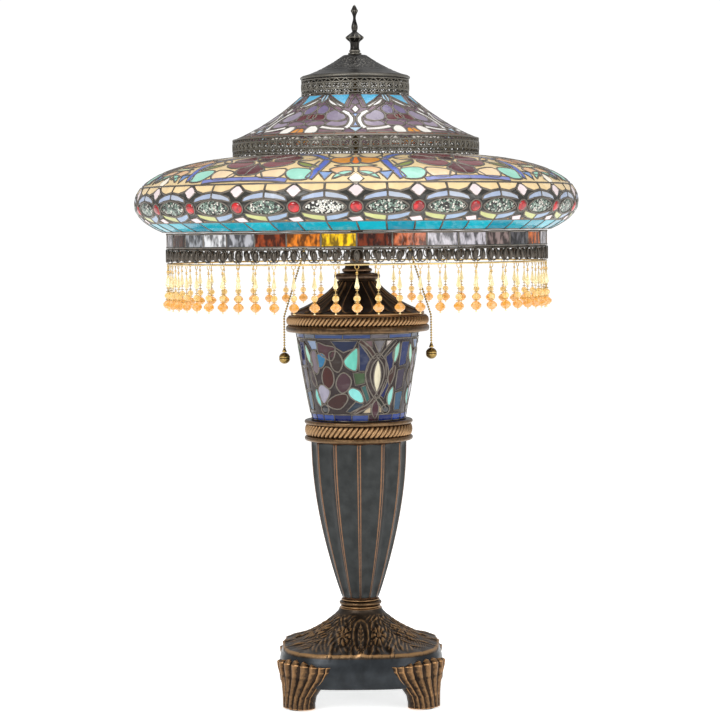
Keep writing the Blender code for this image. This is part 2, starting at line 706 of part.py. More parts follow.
# ---------------------------------------------------------------- light cluster
def cluster():
    """Cluster body on the pipe and the rod that carries the shade."""
    half = CLUSTER_HEIGHT / 2
    body = [(ROD_BORE, CLUSTER_Z + CLUSTER_HEIGHT)]
    body += arc((0.0, SOCKET_AXIS_Z), (CLUSTER_RADIUS, half), 4.0, 75, -75, 7)
    body.append((ROD_BORE, CLUSTER_Z))
    turned("cluster_body", body, "bronze", MID_STEPS, closed=True)
    washer_top = SHADE_TOP_Z - CAP_CROWN_THICK - GAP
    washer_bottom = washer_top - SEAT_WASHER_THICK
    nut_top = washer_bottom - GAP
    hex_nut("seat_nut", ROD_BORE, nut_top - NUT_THICK, nut_top)
    turned(
        "riser_rod",
        [(0.0, ROD_TOP_Z), (ROD_RADIUS, ROD_TOP_Z), (ROD_RADIUS, CLUSTER_Z), (0.0, CLUSTER_Z)],
        "brass",
        SMALL_STEPS,
    )
    seat = anchor("shade_seat_origin", washer_bottom)
    washer = turned(
        "shade_seat_washer",
        washer_profile(CAP_CROWN_RADIUS - 0.0015, ROD_BORE, 0.0, SEAT_WASHER_THICK),
        "brass",
        SMALL_STEPS,
        closed=True,
    )
    washer.parent = seat


def socket_side(side, label):
    """One socket with its bulb, lying along X away from the cluster."""
    origin = anchor(f"socket_{label}_origin", SOCKET_AXIS_Z)
    origin.location.x = side * (CLUSTER_RADIUS + GAP)
    origin.rotation_euler = (0, side * math.pi / 2, 0)
    floor = SOCKET_LENGTH - SOCKET_CUP_DEPTH
    cup = BULB_CAP_RADIUS + BORE_PLAY
    socket = [
        (0.0, floor),
        (cup, floor),
        (cup, SOCKET_LENGTH),
        (SOCKET_RADIUS, SOCKET_LENGTH),
        (SOCKET_RADIUS, 0.004),
        (SOCKET_RADIUS - 0.006, 0.0),
        (0.0, 0.0),
    ]
    turned(f"socket_{label}", socket, "phenolic", MID_STEPS).parent = origin
    cap_foot = floor + GAP
    cap_top = cap_foot + BULB_CAP_LENGTH
    cap = [
        (0.0, cap_top),
        (BULB_CAP_RADIUS, cap_top),
        (BULB_CAP_RADIUS, cap_foot + 0.004),
        (0.005, cap_foot),
        (0.0, cap_foot),
    ]
    turned(f"bulb_cap_{label}", cap, "brass", SMALL_STEPS).parent = origin
    foot = cap_top + GAP
    middle = foot + BULB_LENGTH - BULB_RADIUS
    glass = arc((0.0, middle), (BULB_RADIUS, BULB_RADIUS), 2.0, 90, 0, 5)
    glass += [
        (BULB_RADIUS - 0.003, middle - 0.018),
        (BULB_CAP_RADIUS, foot + 0.010),
        (BULB_CAP_RADIUS - 0.0005, foot),
        (0.0, foot),
    ]
    turned(f"bulb_glass_{label}", glass, "bulb_glass", MID_STEPS).parent = origin


def chain_frame(side):
    """(spout mouth, slope, bend point) of one pull chain in the XZ plane."""
    tilt = math.radians(CHAIN_TILT_DEG)
    slope = Vector((side * math.sin(tilt), 0.0, -math.cos(tilt)))
    hang = RIM_RADIUS + GAP * 2 + CHAIN_RADIUS
    bend = Vector((side * hang, 0.0, RIM_Z + RIM_HEIGHT - 0.001))
    start_x = CLUSTER_RADIUS + GAP + SPOUT_OFFSET
    reach = (hang - start_x) / math.sin(tilt)
    return bend - slope * reach, slope, bend


def pull_chain(side, label):
    """Spout under a socket, and the chain, bell and ball that hang from it."""
    top, slope, bend = chain_frame(side)
    clear = SOCKET_RADIUS + SPOUT_RADIUS * abs(slope.x) + GAP
    drop = (top.z - (SOCKET_AXIS_Z - clear)) / abs(slope.z)
    mouth = top + slope * drop
    turn = Vector((0, 0, -1)).rotation_difference(slope)
    bore = CHAIN_RADIUS + SLIDE_PLAY
    spout_profile = [
        (SPOUT_RADIUS, 0.0),
        (SPOUT_RADIUS, -SPOUT_LENGTH + 0.003),
        (SPOUT_RADIUS + 0.001, -SPOUT_LENGTH),
        (bore, -SPOUT_LENGTH),
        (bore, 0.0),
    ]
    spout = turned(f"pull_spout_{label}", spout_profile, "brass", SMALL_STEPS, closed=True)
    spout.location = mouth
    spout.rotation_mode = "QUATERNION"
    spout.rotation_quaternion = turn
    start = mouth + slope * 0.001
    half = math.radians(CHAIN_TILT_DEG) / 2
    cut = CHAIN_BEND_RADIUS * math.tan(half)
    begin = bend - slope * cut
    end_z = bend.z - cut
    centre = Vector((bend.x - side * CHAIN_BEND_RADIUS, 0.0, end_z))
    points = [start.lerp(begin, i / 26) for i in range(26)]
    for i in range(5):
        angle = math.radians(CHAIN_TILT_DEG) * (1 - i / 4)
        lean = Vector((side * math.cos(angle), 0.0, math.sin(angle)))
        points.append(centre + lean * CHAIN_BEND_RADIUS)
    stop = Vector((bend.x, 0.0, bend.z - CHAIN_DROPS[label]))
    points += [points[-1].lerp(stop, i / 9) for i in range(1, 10)]
    curve = bpy.data.curves.new(f"pull_chain_{label}", "CURVE")
    curve.dimensions = "3D"
    curve.bevel_depth = CHAIN_RADIUS
    curve.bevel_resolution = 1
    curve.use_fill_caps = True
    spline = curve.splines.new("POLY")
    spline.points.add(len(points) - 1)
    for target, point in zip(spline.points, points):
        target.co = (*point, 1.0)
    add(bpy.data.objects.new(f"pull_chain_{label}", curve), "brass")
    bell_top = -GAP
    bell = [
        (0.0, bell_top),
        (CHAIN_RADIUS, bell_top),
        (BELL_RADIUS, bell_top - BELL_HEIGHT * 0.6),
        (BELL_RADIUS, bell_top - BELL_HEIGHT),
        (0.0, bell_top - BELL_HEIGHT),
    ]
    turned(f"pull_bell_{label}", bell, "brass", SMALL_STEPS).location = stop
    ball_centre = bell_top - BELL_HEIGHT - GAP - PULL_BALL_RADIUS
    ball = arc((0.0, ball_centre), (PULL_BALL_RADIUS, PULL_BALL_RADIUS), 2.0, 90, -90, 8)
    ball[0] = (0.0, ball[0][1])
    ball[-1] = (0.0, ball[-1][1])
    turned(f"pull_ball_{label}", ball, "brass", SMALL_STEPS).location = stop


# ---------------------------------------------------------------- shade
def cap_profile():
    """Outer profile of the shade's metal cap, from its crown to its rolled lip."""
    fall = CAP_DEPTH - 0.004
    points = []
    for i in range(5):
        share = i / 4
        radius = CAP_CROWN_RADIUS + (CAP_LIP_RADIUS - CAP_CROWN_RADIUS) * share
        points.append((radius, -fall * (1.0 - (1.0 - share) ** 1.35)))
    points.append((CAP_LIP_RADIUS + 0.0012, -fall - 0.002))
    points.append((CAP_LIP_RADIUS, -CAP_DEPTH))
    return points


def shade(origin):
    """Cap, pierced bands, leaded glass, trim and bead fringe, below the cap's top."""
    outer = cap_profile()
    inner = [(radius - 0.003, height - 0.0022) for radius, height in reversed(outer[1:-2])]
    crown = [(ROD_BORE, 0.0)] + outer + [(CAP_LIP_RADIUS - 0.005, -CAP_DEPTH)] + inner
    crown += [(CAP_CROWN_RADIUS, -CAP_CROWN_THICK), (ROD_BORE, -CAP_CROWN_THICK)]
    pieces = [turned("shade_cap", crown, "pewter", STEPS, closed=True)]

    top = -CAP_DEPTH - GAP
    bottom = top - UPPER_BAND_HEIGHT
    band = washer_profile(UPPER_BAND_RADIUS, UPPER_BAND_RADIUS - METAL_WALL, bottom, top)
    pieces.append(turned("filigree_band_upper", band, "pewter", STEPS, closed=True))

    top = bottom - GAP
    bottom = top - CONE_DEPTH
    cone = []
    for i in range(4):
        share = i / 3
        end = LOWER_BAND_RADIUS - 0.003
        radius = UPPER_BAND_RADIUS + (end - UPPER_BAND_RADIUS) * share
        sag = 4 * share * (1 - share) * CONE_SAG
        cone.append((radius, top - CONE_DEPTH * share - sag))
    pieces.append(turned_shell("cone_glass", cone, GLASS_WALL, "cone_glass", STEPS))

    top = bottom - GAP
    bottom = top - LOWER_BAND_HEIGHT
    band = washer_profile(LOWER_BAND_RADIUS, LOWER_BAND_RADIUS - METAL_WALL, bottom, top)
    pieces.append(turned("filigree_band_lower", band, "pewter", STEPS, closed=True))

    # The dome's two arcs meet at its widest ring.
    start_deg = shoulder_angle_at_radius(LOWER_BAND_RADIUS)
    rise = SHOULDER_HEIGHT * math.sin(math.radians(start_deg)) ** (2 / SHOULDER_EXPONENT)
    widest = bottom - GAP - rise
    split_share = FLOWER_END_HEIGHT / SHOULDER_HEIGHT
    split_deg = math.degrees(math.asin(split_share ** (SHOULDER_EXPONENT / 2)))
    lip_split_deg = -math.degrees(math.asin(MEDALLION_END_DROP / LIP_HEIGHT))
    end_share = (AMBER_BAND_RADIUS - LIP_CENTRE_RADIUS) / (DOME_RADIUS - LIP_CENTRE_RADIUS)
    end_deg = -math.degrees(math.acos(end_share))
    play = math.degrees(2 * GAP / SHOULDER_HEIGHT)
    walls = [dome_points(widest, inset, start_deg, split_deg + play, 6) for inset in WALLS]
    pieces.append(glass_ring("flower_glass", walls))
    walls = [
        dome_points(widest, inset, split_deg - play, 0, 3)
        + dome_points(widest, inset, 0, lip_split_deg, 4)[1:]
        for inset in WALLS
    ]
    pieces.append(glass_ring("medallion_glass", walls))
    walls = [dome_points(widest, inset, lip_split_deg - play, end_deg, 4) for inset in WALLS]
    pieces.append(glass_ring("turquoise_glass", walls))
    lip_end = walls[0][-1][1]

    top = lip_end - GAP
    bottom = top - AMBER_BAND_HEIGHT
    band = washer_profile(AMBER_BAND_RADIUS, AMBER_BAND_RADIUS - GLASS_WALL, bottom, top)
    pieces.append(turned("amber_glass_band", band, "amber_glass", STEPS, closed=True))

    top = bottom - GAP
    bottom = top - TRIM_HEIGHT
    band = washer_profile(TRIM_RADIUS, TRIM_RADIUS - TRIM_WALL, bottom, top)
    pieces.append(turned("fringe_trim_ring", band, "pewter", STEPS, closed=True))
    pieces.append(bead_fringe(bottom - GAP))
    for piece in pieces:
        piece.parent = origin


def dome_points(widest, inset, start_deg, end_deg, count):
    """Points down the dome's upper arc, or its lower lip where the angles are below 0."""
    if min(start_deg, end_deg) < 0:
        sizes = (DOME_RADIUS - LIP_CENTRE_RADIUS - inset, LIP_HEIGHT - inset)
        return arc((LIP_CENTRE_RADIUS, widest), sizes, 2.0, start_deg, end_deg, count)
    sizes = (DOME_RADIUS - SHOULDER_CENTRE_RADIUS - inset, SHOULDER_HEIGHT - inset)
    centre = (SHOULDER_CENTRE_RADIUS, widest)
    return arc(centre, sizes, SHOULDER_EXPONENT, start_deg, end_deg, count)


def glass_ring(name, walls):
    """A closed ring of glass between an outer and an inner profile."""
    outer, inner = walls
    return turned(name, outer + inner[::-1], name, STEPS, closed=True)


def shoulder_angle_at_radius(radius):
    """Angle on the dome's upper arc at which it reaches this radius, in degrees."""
    share = (radius - SHOULDER_CENTRE_RADIUS) / (DOME_RADIUS - SHOULDER_CENTRE_RADIUS)
    return math.degrees(math.acos(share ** (SHOULDER_EXPONENT / 2)))


def bead_fringe(top):
    """A wire ring with all its bead strands, joined to it at their top loops."""
    wire = STRAND_WIRE_RADIUS
    ring_height = top - wire
    ring_profile = [
        (STRAND_RING_RADIUS + wire, ring_height + wire),
        (STRAND_RING_RADIUS + wire, ring_height - wire),
        (STRAND_RING_RADIUS - wire, ring_height - wire),
        (STRAND_RING_RADIUS - wire, ring_height + wire),
    ]
    fringe = turned("bead_fringe", ring_profile, "bead_glass", STRAND_COUNT, closed=True)
    foot = top - STRAND_LENGTH
    strand = [
        (0.0, ring_height + wire / 2),
        (wire * 0.8, ring_height),
        (DROP_BEAD_RADIUS, foot + 0.027),
        (wire, foot + 0.0205),
        (SMALL_BEAD_RADIUS, foot + 0.0170),
        (wire, foot + 0.0133),
        (LARGE_BEAD_RADIUS, foot + 0.0075),
        (wire, foot + 0.0015),
        (0.0, foot),
    ]
    shape = bmesh.new()
    for index in range(STRAND_COUNT):
        turn = math.tau * index / STRAND_COUNT
        centre = Vector((math.cos(turn), math.sin(turn), 0.0)) * STRAND_RING_RADIUS
        add_strand(shape, strand, centre, turn)
    mesh = bpy.data.meshes.new("strands")
    shape.to_mesh(mesh)
    shape.free()
    strands = add(bpy.data.objects.new("strands", mesh), None, CUTTERS)
    strands.parent = fringe
    combine(fringe, strands, "UNION")
    return fringe


def add_strand(shape, profile, centre, turn):
    """Adds one turned strand to a bmesh by spinning its profile about its own axis."""
    axis = Vector((0, 0, 1))
    verts = [
        shape.verts.new(centre + Matrix.Rotation(turn, 3, axis) @ Vector((radius, 0, height)))
        for radius, height in profile
    ]
    edges = [shape.edges.new(pair) for pair in zip(verts, verts[1:])]
    before = set(shape.verts) - set(verts)
    bmesh.ops.spin(
        shape, geom=verts + edges, cent=centre, axis=axis, dvec=(0, 0, 0),
        angle=math.tau, steps=BEAD_STEPS, use_merge=True, use_duplicate=False,
    )
    made = [vert for vert in shape.verts if vert not in before]
    bmesh.ops.remove_doubles(shape, verts=made, dist=0.00001)
    faces = {face for vert in shape.verts if vert not in before for face in vert.link_faces}
    bmesh.ops.recalc_face_normals(shape, faces=list(faces))


def finial():
    """Turned finial that screws on the riser rod and holds the shade, and its washer."""
    lift = anchor("finial_washer_origin", SHADE_TOP_Z + GAP)
    washer = turned(
        "finial_washer",
        washer_profile(FINIAL_WASHER_RADIUS, ROD_BORE, 0.0, FINIAL_WASHER_THICK),
        "pewter",
        SMALL_STEPS,
        closed=True,
    )
    washer.parent = lift
    turn = anchor("finial_origin", SHADE_TOP_Z + GAP + FINIAL_WASHER_THICK + GAP)
    neck = FINIAL_NECK_RADIUS
    outline = [
        (0.0, FINIAL_HEIGHT),
        (0.0022, FINIAL_HEIGHT - 0.0015),
        (0.0016, FINIAL_HEIGHT - 0.0045),
        (0.0036, FINIAL_HEIGHT - 0.0080),
        (0.0034, FINIAL_HEIGHT - 0.0105),
        (0.0016, FINIAL_HEIGHT - 0.0150),
        (0.0022, FINIAL_HEIGHT - 0.0210),
        (0.0040, FINIAL_HEIGHT - 0.0265),
        (0.0072, FINIAL_HEIGHT - 0.0310),
        (FINIAL_KNOB_RADIUS, FINIAL_HEIGHT - 0.0355),
        (0.0085, FINIAL_HEIGHT - 0.0405),
        (neck, FINIAL_HEIGHT - 0.0430),
        (neck, 0.0),
        (ROD_BORE, 0.0),
        (ROD_BORE, FINIAL_BORE_DEPTH),
        (0.0, FINIAL_BORE_DEPTH),
    ]
    turned("finial", outline, "pewter", SMALL_STEPS).parent = turn


def main():
    clear_scene()
    shell_feet()
    cavity_top_z = base_casting()
    pipe_bottom_z = base_fittings(cavity_top_z)
    seat_top_z = stem(pipe_bottom_z)
    urn()
    urn_light(seat_top_z)
    cluster()
    for side, label in ((-1, "left"), (1, "right")):
        socket_side(side, label)
        pull_chain(side, label)
    shade(anchor("shade_origin", SHADE_TOP_Z))
    finial()


main()
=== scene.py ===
"""Table lamp with a leaded glass shade, a leaded glass urn and a cast base.

Lengths are in metres and heights are above the floor. An angle on the lamp is counted in
degrees from its front (-Y) towards its right-hand side (+X).
"""

import logging
import math
import random
from dataclasses import dataclass, field
from enum import Enum
from typing import Callable, Iterable, Sequence

import bmesh
import bpy
import numpy as np
from mathutils import Matrix, Vector


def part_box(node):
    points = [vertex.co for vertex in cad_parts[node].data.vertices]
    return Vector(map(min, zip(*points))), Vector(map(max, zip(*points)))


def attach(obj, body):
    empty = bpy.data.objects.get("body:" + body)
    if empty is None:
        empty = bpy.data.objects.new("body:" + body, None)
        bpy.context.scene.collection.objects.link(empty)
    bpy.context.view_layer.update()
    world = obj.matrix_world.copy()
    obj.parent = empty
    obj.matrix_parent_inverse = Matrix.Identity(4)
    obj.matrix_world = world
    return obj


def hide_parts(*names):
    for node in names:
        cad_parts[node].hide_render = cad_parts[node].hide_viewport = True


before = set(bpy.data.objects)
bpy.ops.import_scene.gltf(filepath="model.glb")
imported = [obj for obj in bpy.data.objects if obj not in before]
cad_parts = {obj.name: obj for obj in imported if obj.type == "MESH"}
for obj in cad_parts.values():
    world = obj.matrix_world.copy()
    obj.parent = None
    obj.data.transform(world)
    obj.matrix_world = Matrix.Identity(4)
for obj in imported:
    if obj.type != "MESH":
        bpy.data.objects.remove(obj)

LOG = logging.getLogger("lamp")
MM = 0.001
Colour = tuple[float, float, float, float]
Flat = tuple[float, float]


# ---------------------------------------------------------------- small helpers
def linear(hex_colour: str) -> Colour:
    """Turns an sRGB hex colour into a linear one.

    Args:
        hex_colour: Six hex digits, with or without a leading #.

    Returns:
        Red, green, blue and an alpha of 1.
    """
    digits = hex_colour.lstrip("#")
    channels = []
    for start in (0, 2, 4):
        value = int(digits[start : start + 2], 16) / 255
        channels.append(value / 12.92 if value <= 0.04045 else ((value + 0.055) / 1.055) ** 2.4)
    return (channels[0], channels[1], channels[2], 1.0)


def add_node(
    tree: bpy.types.NodeTree, kind: str, inputs: dict[str | int, object] | None = None, **settings
) -> bpy.types.Node:
    """Adds a node with its settings, its socket values and its links.

    Args:
        tree: The tree that the node goes into.
        kind: The node's type name.
        inputs: A value, or another node's output socket, for each input by name or place.
        **settings: Values for the node's own properties.

    Returns:
        The new node.
    """
    made = tree.nodes.new(kind)
    for key, value in settings.items():
        setattr(made, key, value)
    for key, value in (inputs or {}).items():
        if isinstance(value, bpy.types.NodeSocket):
            tree.links.new(value, made.inputs[key])
        else:
            made.inputs[key].default_value = value
    return made


def smooth_step(low: float, high: float, value: float) -> float:
    """Eases from 0 at low to 1 at high."""
    share = min(1.0, max(0.0, (value - low) / (high - low)))
    return share * share * (3 - 2 * share)


def box_heights(node: str) -> tuple[float, float]:
    """Lowest and highest point of a node of the frame, in metres."""
    low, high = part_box(node)
    return low.z, high.z


def box_radius(node: str) -> float:
    """Greatest distance of a node of the frame from the lamp's axis, along Y or X."""
    low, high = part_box(node)
    return max(-low.x, high.x, -low.y, high.y)


def arc(
    centre: Flat, halves: Flat, exponent: float, start: float, end: float, count: int
) -> list[Flat]:
    """Points along a superellipse, anticlockwise from +radius.

    Args:
        centre: Radius and height of the curve's middle.
        halves: Half sizes along radius and height.
        exponent: 2 is an ellipse, and less pulls the curve in.
        start: First angle in degrees.
        end: Last angle in degrees.
        count: How many points.

    Returns:
        The points as radius and height.
    """
    points = []
    for i in range(count):
        turn = math.radians(start + (end - start) * i / (count - 1))
        cosine, sine = math.cos(turn), math.sin(turn)
        across = math.copysign(abs(cosine) ** (2 / exponent), cosine)
        up = math.copysign(abs(sine) ** (2 / exponent), sine)
        points.append((centre[0] + halves[0] * across, centre[1] + halves[1] * up))
    return points


def curved(points: Sequence[Flat], per_span: int = 4, closed: bool = False) -> list[Flat]:
    """A smooth line through the points.

    Args:
        points: The points that it passes through.
        per_span: Steps between two of them.
        closed: Whether the line runs back to its start.

    Returns:
        The finer line.
    """
    count = len(points)
    spans = count if closed else count - 1
    line = []
    for i in range(spans):
        if closed:
            four = [points[(i + k) % count] for k in (-1, 0, 1, 2)]
        else:
            four = [points[min(count - 1, max(0, i + k))] for k in (-1, 0, 1, 2)]
        for step in range(per_span):
            t = step / per_span
            weights = (
                -0.5 * t + t * t - 0.5 * t**3,
                1 - 2.5 * t * t + 1.5 * t**3,
                0.5 * t + 2 * t * t - 1.5 * t**3,
                -0.5 * t * t + 0.5 * t**3,
            )
            line.append(
                (
                    sum(w * p[0] for w, p in zip(weights, four)),
                    sum(w * p[1] for w, p in zip(weights, four)),
                )
            )
    if not closed:
        line.append(points[-1])
    return line


# ---------------------------------------------------------------- finishes
class Finish:
    """A finish: its material is built once and then shared."""

    label: str

    def material(self) -> bpy.types.Material:
        """The material of this finish."""
        found = bpy.data.materials.get(self.label)
        if found is not None:
            return found
        made = bpy.data.materials.new(self.label)
        made.use_nodes = True
        tree = made.node_tree
        tree.nodes.clear()
        shader = add_node(tree, "ShaderNodeBsdfPrincipled")
        add_node(tree, "ShaderNodeOutputMaterial", {"Surface": shader.outputs["BSDF"]})
        self.dress(tree, shader)
        return made

    def dress(self, tree: bpy.types.NodeTree, shader: bpy.types.Node) -> None:
        """Gives the shader its colours, gloss and relief."""
        raise NotImplementedError


def grain(
    tree: bpy.types.NodeTree,
    size: float,
    detail: float = 3.0,
    stretch: tuple[float, float, float] = (1.0, 1.0, 1.0),
) -> bpy.types.NodeSocket:
    """Soft grey noise fixed to the piece.

    Args:
        tree: The material's tree.
        size: Size of one blotch in metres.
        detail: How many finer layers it has.
        stretch: How much the pattern is drawn out along each axis.

    Returns:
        The socket of its value, about 0.5 on average.
    """
    place = add_node(tree, "ShaderNodeTexCoord").outputs["Object"]
    scale = tuple(1.0 / (size * factor) for factor in stretch)
    mapped = add_node(tree, "ShaderNodeMapping", {"Vector": place, "Scale": scale})
    inputs = {"Vector": mapped.outputs["Vector"], "Scale": 1.0, "Detail": detail}
    return add_node(tree, "ShaderNodeTexNoise", inputs).outputs["Fac"]


def between(
    tree: bpy.types.NodeTree, value: bpy.types.NodeSocket, low: float, high: float
) -> bpy.types.NodeSocket:
    """A value stretched so that low becomes 0 and high becomes 1."""
    inputs = {"Value": value, "From Min": low, "From Max": high}
    return add_node(tree, "ShaderNodeMapRange", inputs).outputs["Result"]


def blended(
    tree: bpy.types.NodeTree, share: object, first: object, second: object, way: str = "MIX"
) -> bpy.types.NodeSocket:
    """The first colour going over into the second as the share rises."""
    mix = add_node(tree, "ShaderNodeMix", data_type="RGBA", blend_type=way)
    for place, value in ((0, share), (6, first), (7, second)):
        if isinstance(value, bpy.types.NodeSocket):
            tree.links.new(value, mix.inputs[place])
        else:
            mix.inputs[place].default_value = value
    return mix.outputs[2]


def relief(
    tree: bpy.types.NodeTree, shader: bpy.types.Node, height: bpy.types.NodeSocket, depth: float
) -> None:
    """Gives the shader a bump of this depth in metres."""
    inputs = {"Height": height, "Distance": depth, "Strength": 1.0}
    bump = add_node(tree, "ShaderNodeBump", inputs)
    tree.links.new(bump.outputs["Normal"], shader.inputs["Normal"])


@dataclass(frozen=True)
class CastMetal(Finish):
    """Sand-cast metal with a dark patina, rubbed bright along its high edges.

    The patina gathers in the recesses and leaves a warm glint on every rib and petal.
    """

    label: str
    patina: str
    mottle: str
    rubbed: str
    roughness: float = 0.42
    metallic: float = 0.85
    pitting: float = 0.00012
    rub_from: float = 0.56
    rub_to: float = 0.78
    blotch: float = 0.014

    def dress(self, tree: bpy.types.NodeTree, shader: bpy.types.Node) -> None:
        """Dark patina, blotches, worn edges and fine casting grain."""
        clouds = between(tree, grain(tree, self.blotch), 0.35, 0.68)
        ground = blended(tree, clouds, linear(self.patina), linear(self.mottle))
        edge = add_node(tree, "ShaderNodeAttribute", attribute_name="rub").outputs["Fac"]
        ragged = add_node(
            tree,
            "ShaderNodeMath",
            {0: grain(tree, 0.003, 4.0), 1: 0.22, 2: edge},
            operation="MULTIPLY_ADD",
        ).outputs[0]
        worn = between(tree, ragged, self.rub_from + 0.11, self.rub_to + 0.11)
        colour = blended(tree, worn, ground, linear(self.rubbed))
        tree.links.new(colour, shader.inputs["Base Color"])
        gloss = add_node(
            tree,
            "ShaderNodeMapRange",
            {"Value": grain(tree, 0.006), "To Min": self.roughness - 0.08, "To Max": self.roughness + 0.1},
        )
        tree.links.new(gloss.outputs["Result"], shader.inputs["Roughness"])
        shader.inputs["Metallic"].default_value = self.metallic
        relief(tree, shader, grain(tree, 0.0016, 5.0), self.pitting)


@dataclass(frozen=True)
class LeadedGlass(Finish):
    """Hand-rolled opalescent glass, cut and set in came.

    Milky streaks run through each pane and its rolled face ripples the light on it. Its colour is also emitted, a
    painted glow for light shining through the glass.
    """

    label: str
    streak: float = 0.012
    streak_share: float = 0.35
    wisp: float = 0.12
    roughness: float = 0.16
    # Strength of the painted glow that stands in for light through the glass.
    glow: float = 0.03
    ripple: float = 0.0005
    ripple_size: float = 0.009

    def dress(self, tree: bpy.types.NodeTree, shader: bpy.types.Node) -> None:
        """The pane's own tint with darker streaks, pale wisps and a rippled face."""
        tint = add_node(tree, "ShaderNodeAttribute", attribute_name="tint").outputs["Color"]
        streaks = between(tree, grain(tree, self.streak, 4.0, (1.0, 1.0, 2.6)), 0.38, 0.72)
        dark = add_node(
            tree, "ShaderNodeMath", {0: streaks, 1: self.streak_share}, operation="MULTIPLY"
        ).outputs[0]
        shade = add_node(tree, "ShaderNodeHueSaturation", {"Color": tint, "Value": 0.55, "Saturation": 1.15})
        colour = blended(tree, dark, tint, shade.outputs["Color"])
        mist = between(tree, grain(tree, self.streak * 0.7, 2.0, (2.2, 2.2, 1.0)), 0.52, 0.85)
        pale = add_node(
            tree, "ShaderNodeMath", {0: mist, 1: self.wisp}, operation="MULTIPLY"
        ).outputs[0]
        colour = blended(tree, pale, colour, linear("#f4f1ec"))
        tree.links.new(colour, shader.inputs["Base Color"])
        # Painted glow: the pane's colour is emitted as well, standing in for light through the glass.
        tree.links.new(colour, shader.inputs["Emission Color"])
        shader.inputs["Emission Strength"].default_value = self.glow
        shader.inputs["Roughness"].default_value = self.roughness
        shader.inputs["Specular IOR Level"].default_value = 0.3
        relief(tree, shader, grain(tree, self.ripple_size, 2.0), self.ripple)


@dataclass(frozen=True)
class RippleGlass(Finish):
    """Amber ripple glass, rolled with close waves that break the light into flames."""

    label: str = "amber ripple glass"
    wave: float = 0.0065

    def dress(self, tree: bpy.types.NodeTree, shader: bpy.types.Node) -> None:
        """Flame-like dark waves across each pane's tint, a painted shade of the light that the waves bend, and a
        painted glow.
        """
        tint = add_node(tree, "ShaderNodeAttribute", attribute_name="tint").outputs["Color"]
        waves = grain(tree, self.wave, 2.0, (0.8, 0.8, 1.9))
        # The dark flames are painted shade: light bent by the waves, drawn into the colour.
        flames = between(tree, waves, 0.42, 0.60)
        shade = add_node(tree, "ShaderNodeHueSaturation", {"Color": tint, "Value": 0.16, "Saturation": 1.1})
        colour = blended(tree, flames, shade.outputs["Color"], tint)
        tree.links.new(colour, shader.inputs["Base Color"])
        # Painted glow: the colour is emitted as well, standing in for light through the amber.
        tree.links.new(colour, shader.inputs["Emission Color"])
        shader.inputs["Emission Strength"].default_value = 0.12
        shader.inputs["Roughness"].default_value = 0.10
        relief(tree, shader, waves, 0.0009)


@dataclass(frozen=True)
class CrackleGlass(Finish):
    """Medallions of fractured chips fused on a pale ground, each chip its own colour."""

    label: str = "fused chip glass"
    chip: float = 0.0021
    ground: str = "#5d7468"
    second: str = "#a9bcae"

    def dress(self, tree: bpy.types.NodeTree, shader: bpy.types.Node) -> None:
        """White, green, grey and dark chips with a fine dark joint between them."""
        place = add_node(tree, "ShaderNodeTexCoord").outputs["Object"]
        cells = {"Vector": place, "Scale": 1 / self.chip}
        chips = add_node(tree, "ShaderNodeTexVoronoi", cells)
        tone = add_node(tree, "ShaderNodeSeparateColor", {"Color": chips.outputs["Color"]})
        colour = blended(
            tree,
            between(tree, tone.outputs["Red"], 0.45, 0.6),
            linear(self.ground),
            linear(self.second),
        )
        colour = blended(
            tree, between(tree, tone.outputs["Green"], 0.60, 0.68), colour, linear("#262724")
        )
        colour = blended(
            tree, between(tree, tone.outputs["Blue"], 0.78, 0.84), colour, linear("#e2ddd2")
        )
        joint = add_node(tree, "ShaderNodeTexVoronoi", cells, feature="DISTANCE_TO_EDGE")
        line = between(tree, joint.outputs["Distance"], 0.10, 0.03)
        colour = blended(tree, line, colour, linear("#2f2e2a"))
        tree.links.new(colour, shader.inputs["Base Color"])
        # Painted glow: the chip colours are also emitted, standing in for light through the glass.
        tree.links.new(colour, shader.inputs["Emission Color"])
        shader.inputs["Emission Strength"].default_value = 0.04
        shader.inputs["Roughness"].default_value = 0.14
        relief(tree, shader, joint.outputs["Distance"], 0.0008)


@dataclass(frozen=True)
class PressedJewel(Finish):
    """Pressed glass cabochons, their colour clouding between a deep and a bright tone, with a painted glow."""

    label: str
    deep: str
    bright: str
    # Strength of the painted glow that stands in for light through the jewel.
    glow: float = 0.25

    def dress(self, tree: bpy.types.NodeTree, shader: bpy.types.Node) -> None:
        """A clear gloss over a colour that clouds from deep to bright."""
        clouds = between(tree, grain(tree, 0.006, 2.0), 0.38, 0.66)
        colour = blended(tree, clouds, linear(self.deep), linear(self.bright))
        tree.links.new(colour, shader.inputs["Base Color"])
        # Painted glow: the colour is also emitted, standing in for light through the jewel.
        tree.links.new(colour, shader.inputs["Emission Color"])
        shader.inputs["Emission Strength"].default_value = self.glow
        shader.inputs["Roughness"].default_value = 0.05
        shader.inputs["Coat Weight"].default_value = 0.6
        shader.inputs["IOR"].default_value = 1.55


@dataclass(frozen=True)
class BeadGlass(Finish):
    """Cut glass beads, part clear, that sparkle from their facets."""

    label: str = "cut bead glass"

    def dress(self, tree: bpy.types.NodeTree, shader: bpy.types.Node) -> None:
        """The bead's own tint, half seen through, with small clouds in it and a painted glow."""
        tint = add_node(tree, "ShaderNodeAttribute", attribute_name="tint").outputs["Color"]
        clouds = between(tree, grain(tree, 0.004, 2.0), 0.40, 0.62)
        shade = add_node(tree, "ShaderNodeHueSaturation", {"Color": tint, "Value": 0.86, "Saturation": 1.35})
        colour = blended(tree, clouds, shade.outputs["Color"], tint)
        tree.links.new(colour, shader.inputs["Base Color"])
        # Painted glow: the bead's colour is also emitted, standing in for light through the glass.
        tree.links.new(colour, shader.inputs["Emission Color"])
        shader.inputs["Emission Strength"].default_value = 0.22
        shader.inputs["Transmission Weight"].default_value = 0.6
        shader.inputs["Roughness"].default_value = 0.04
        shader.inputs["IOR"].default_value = 1.52


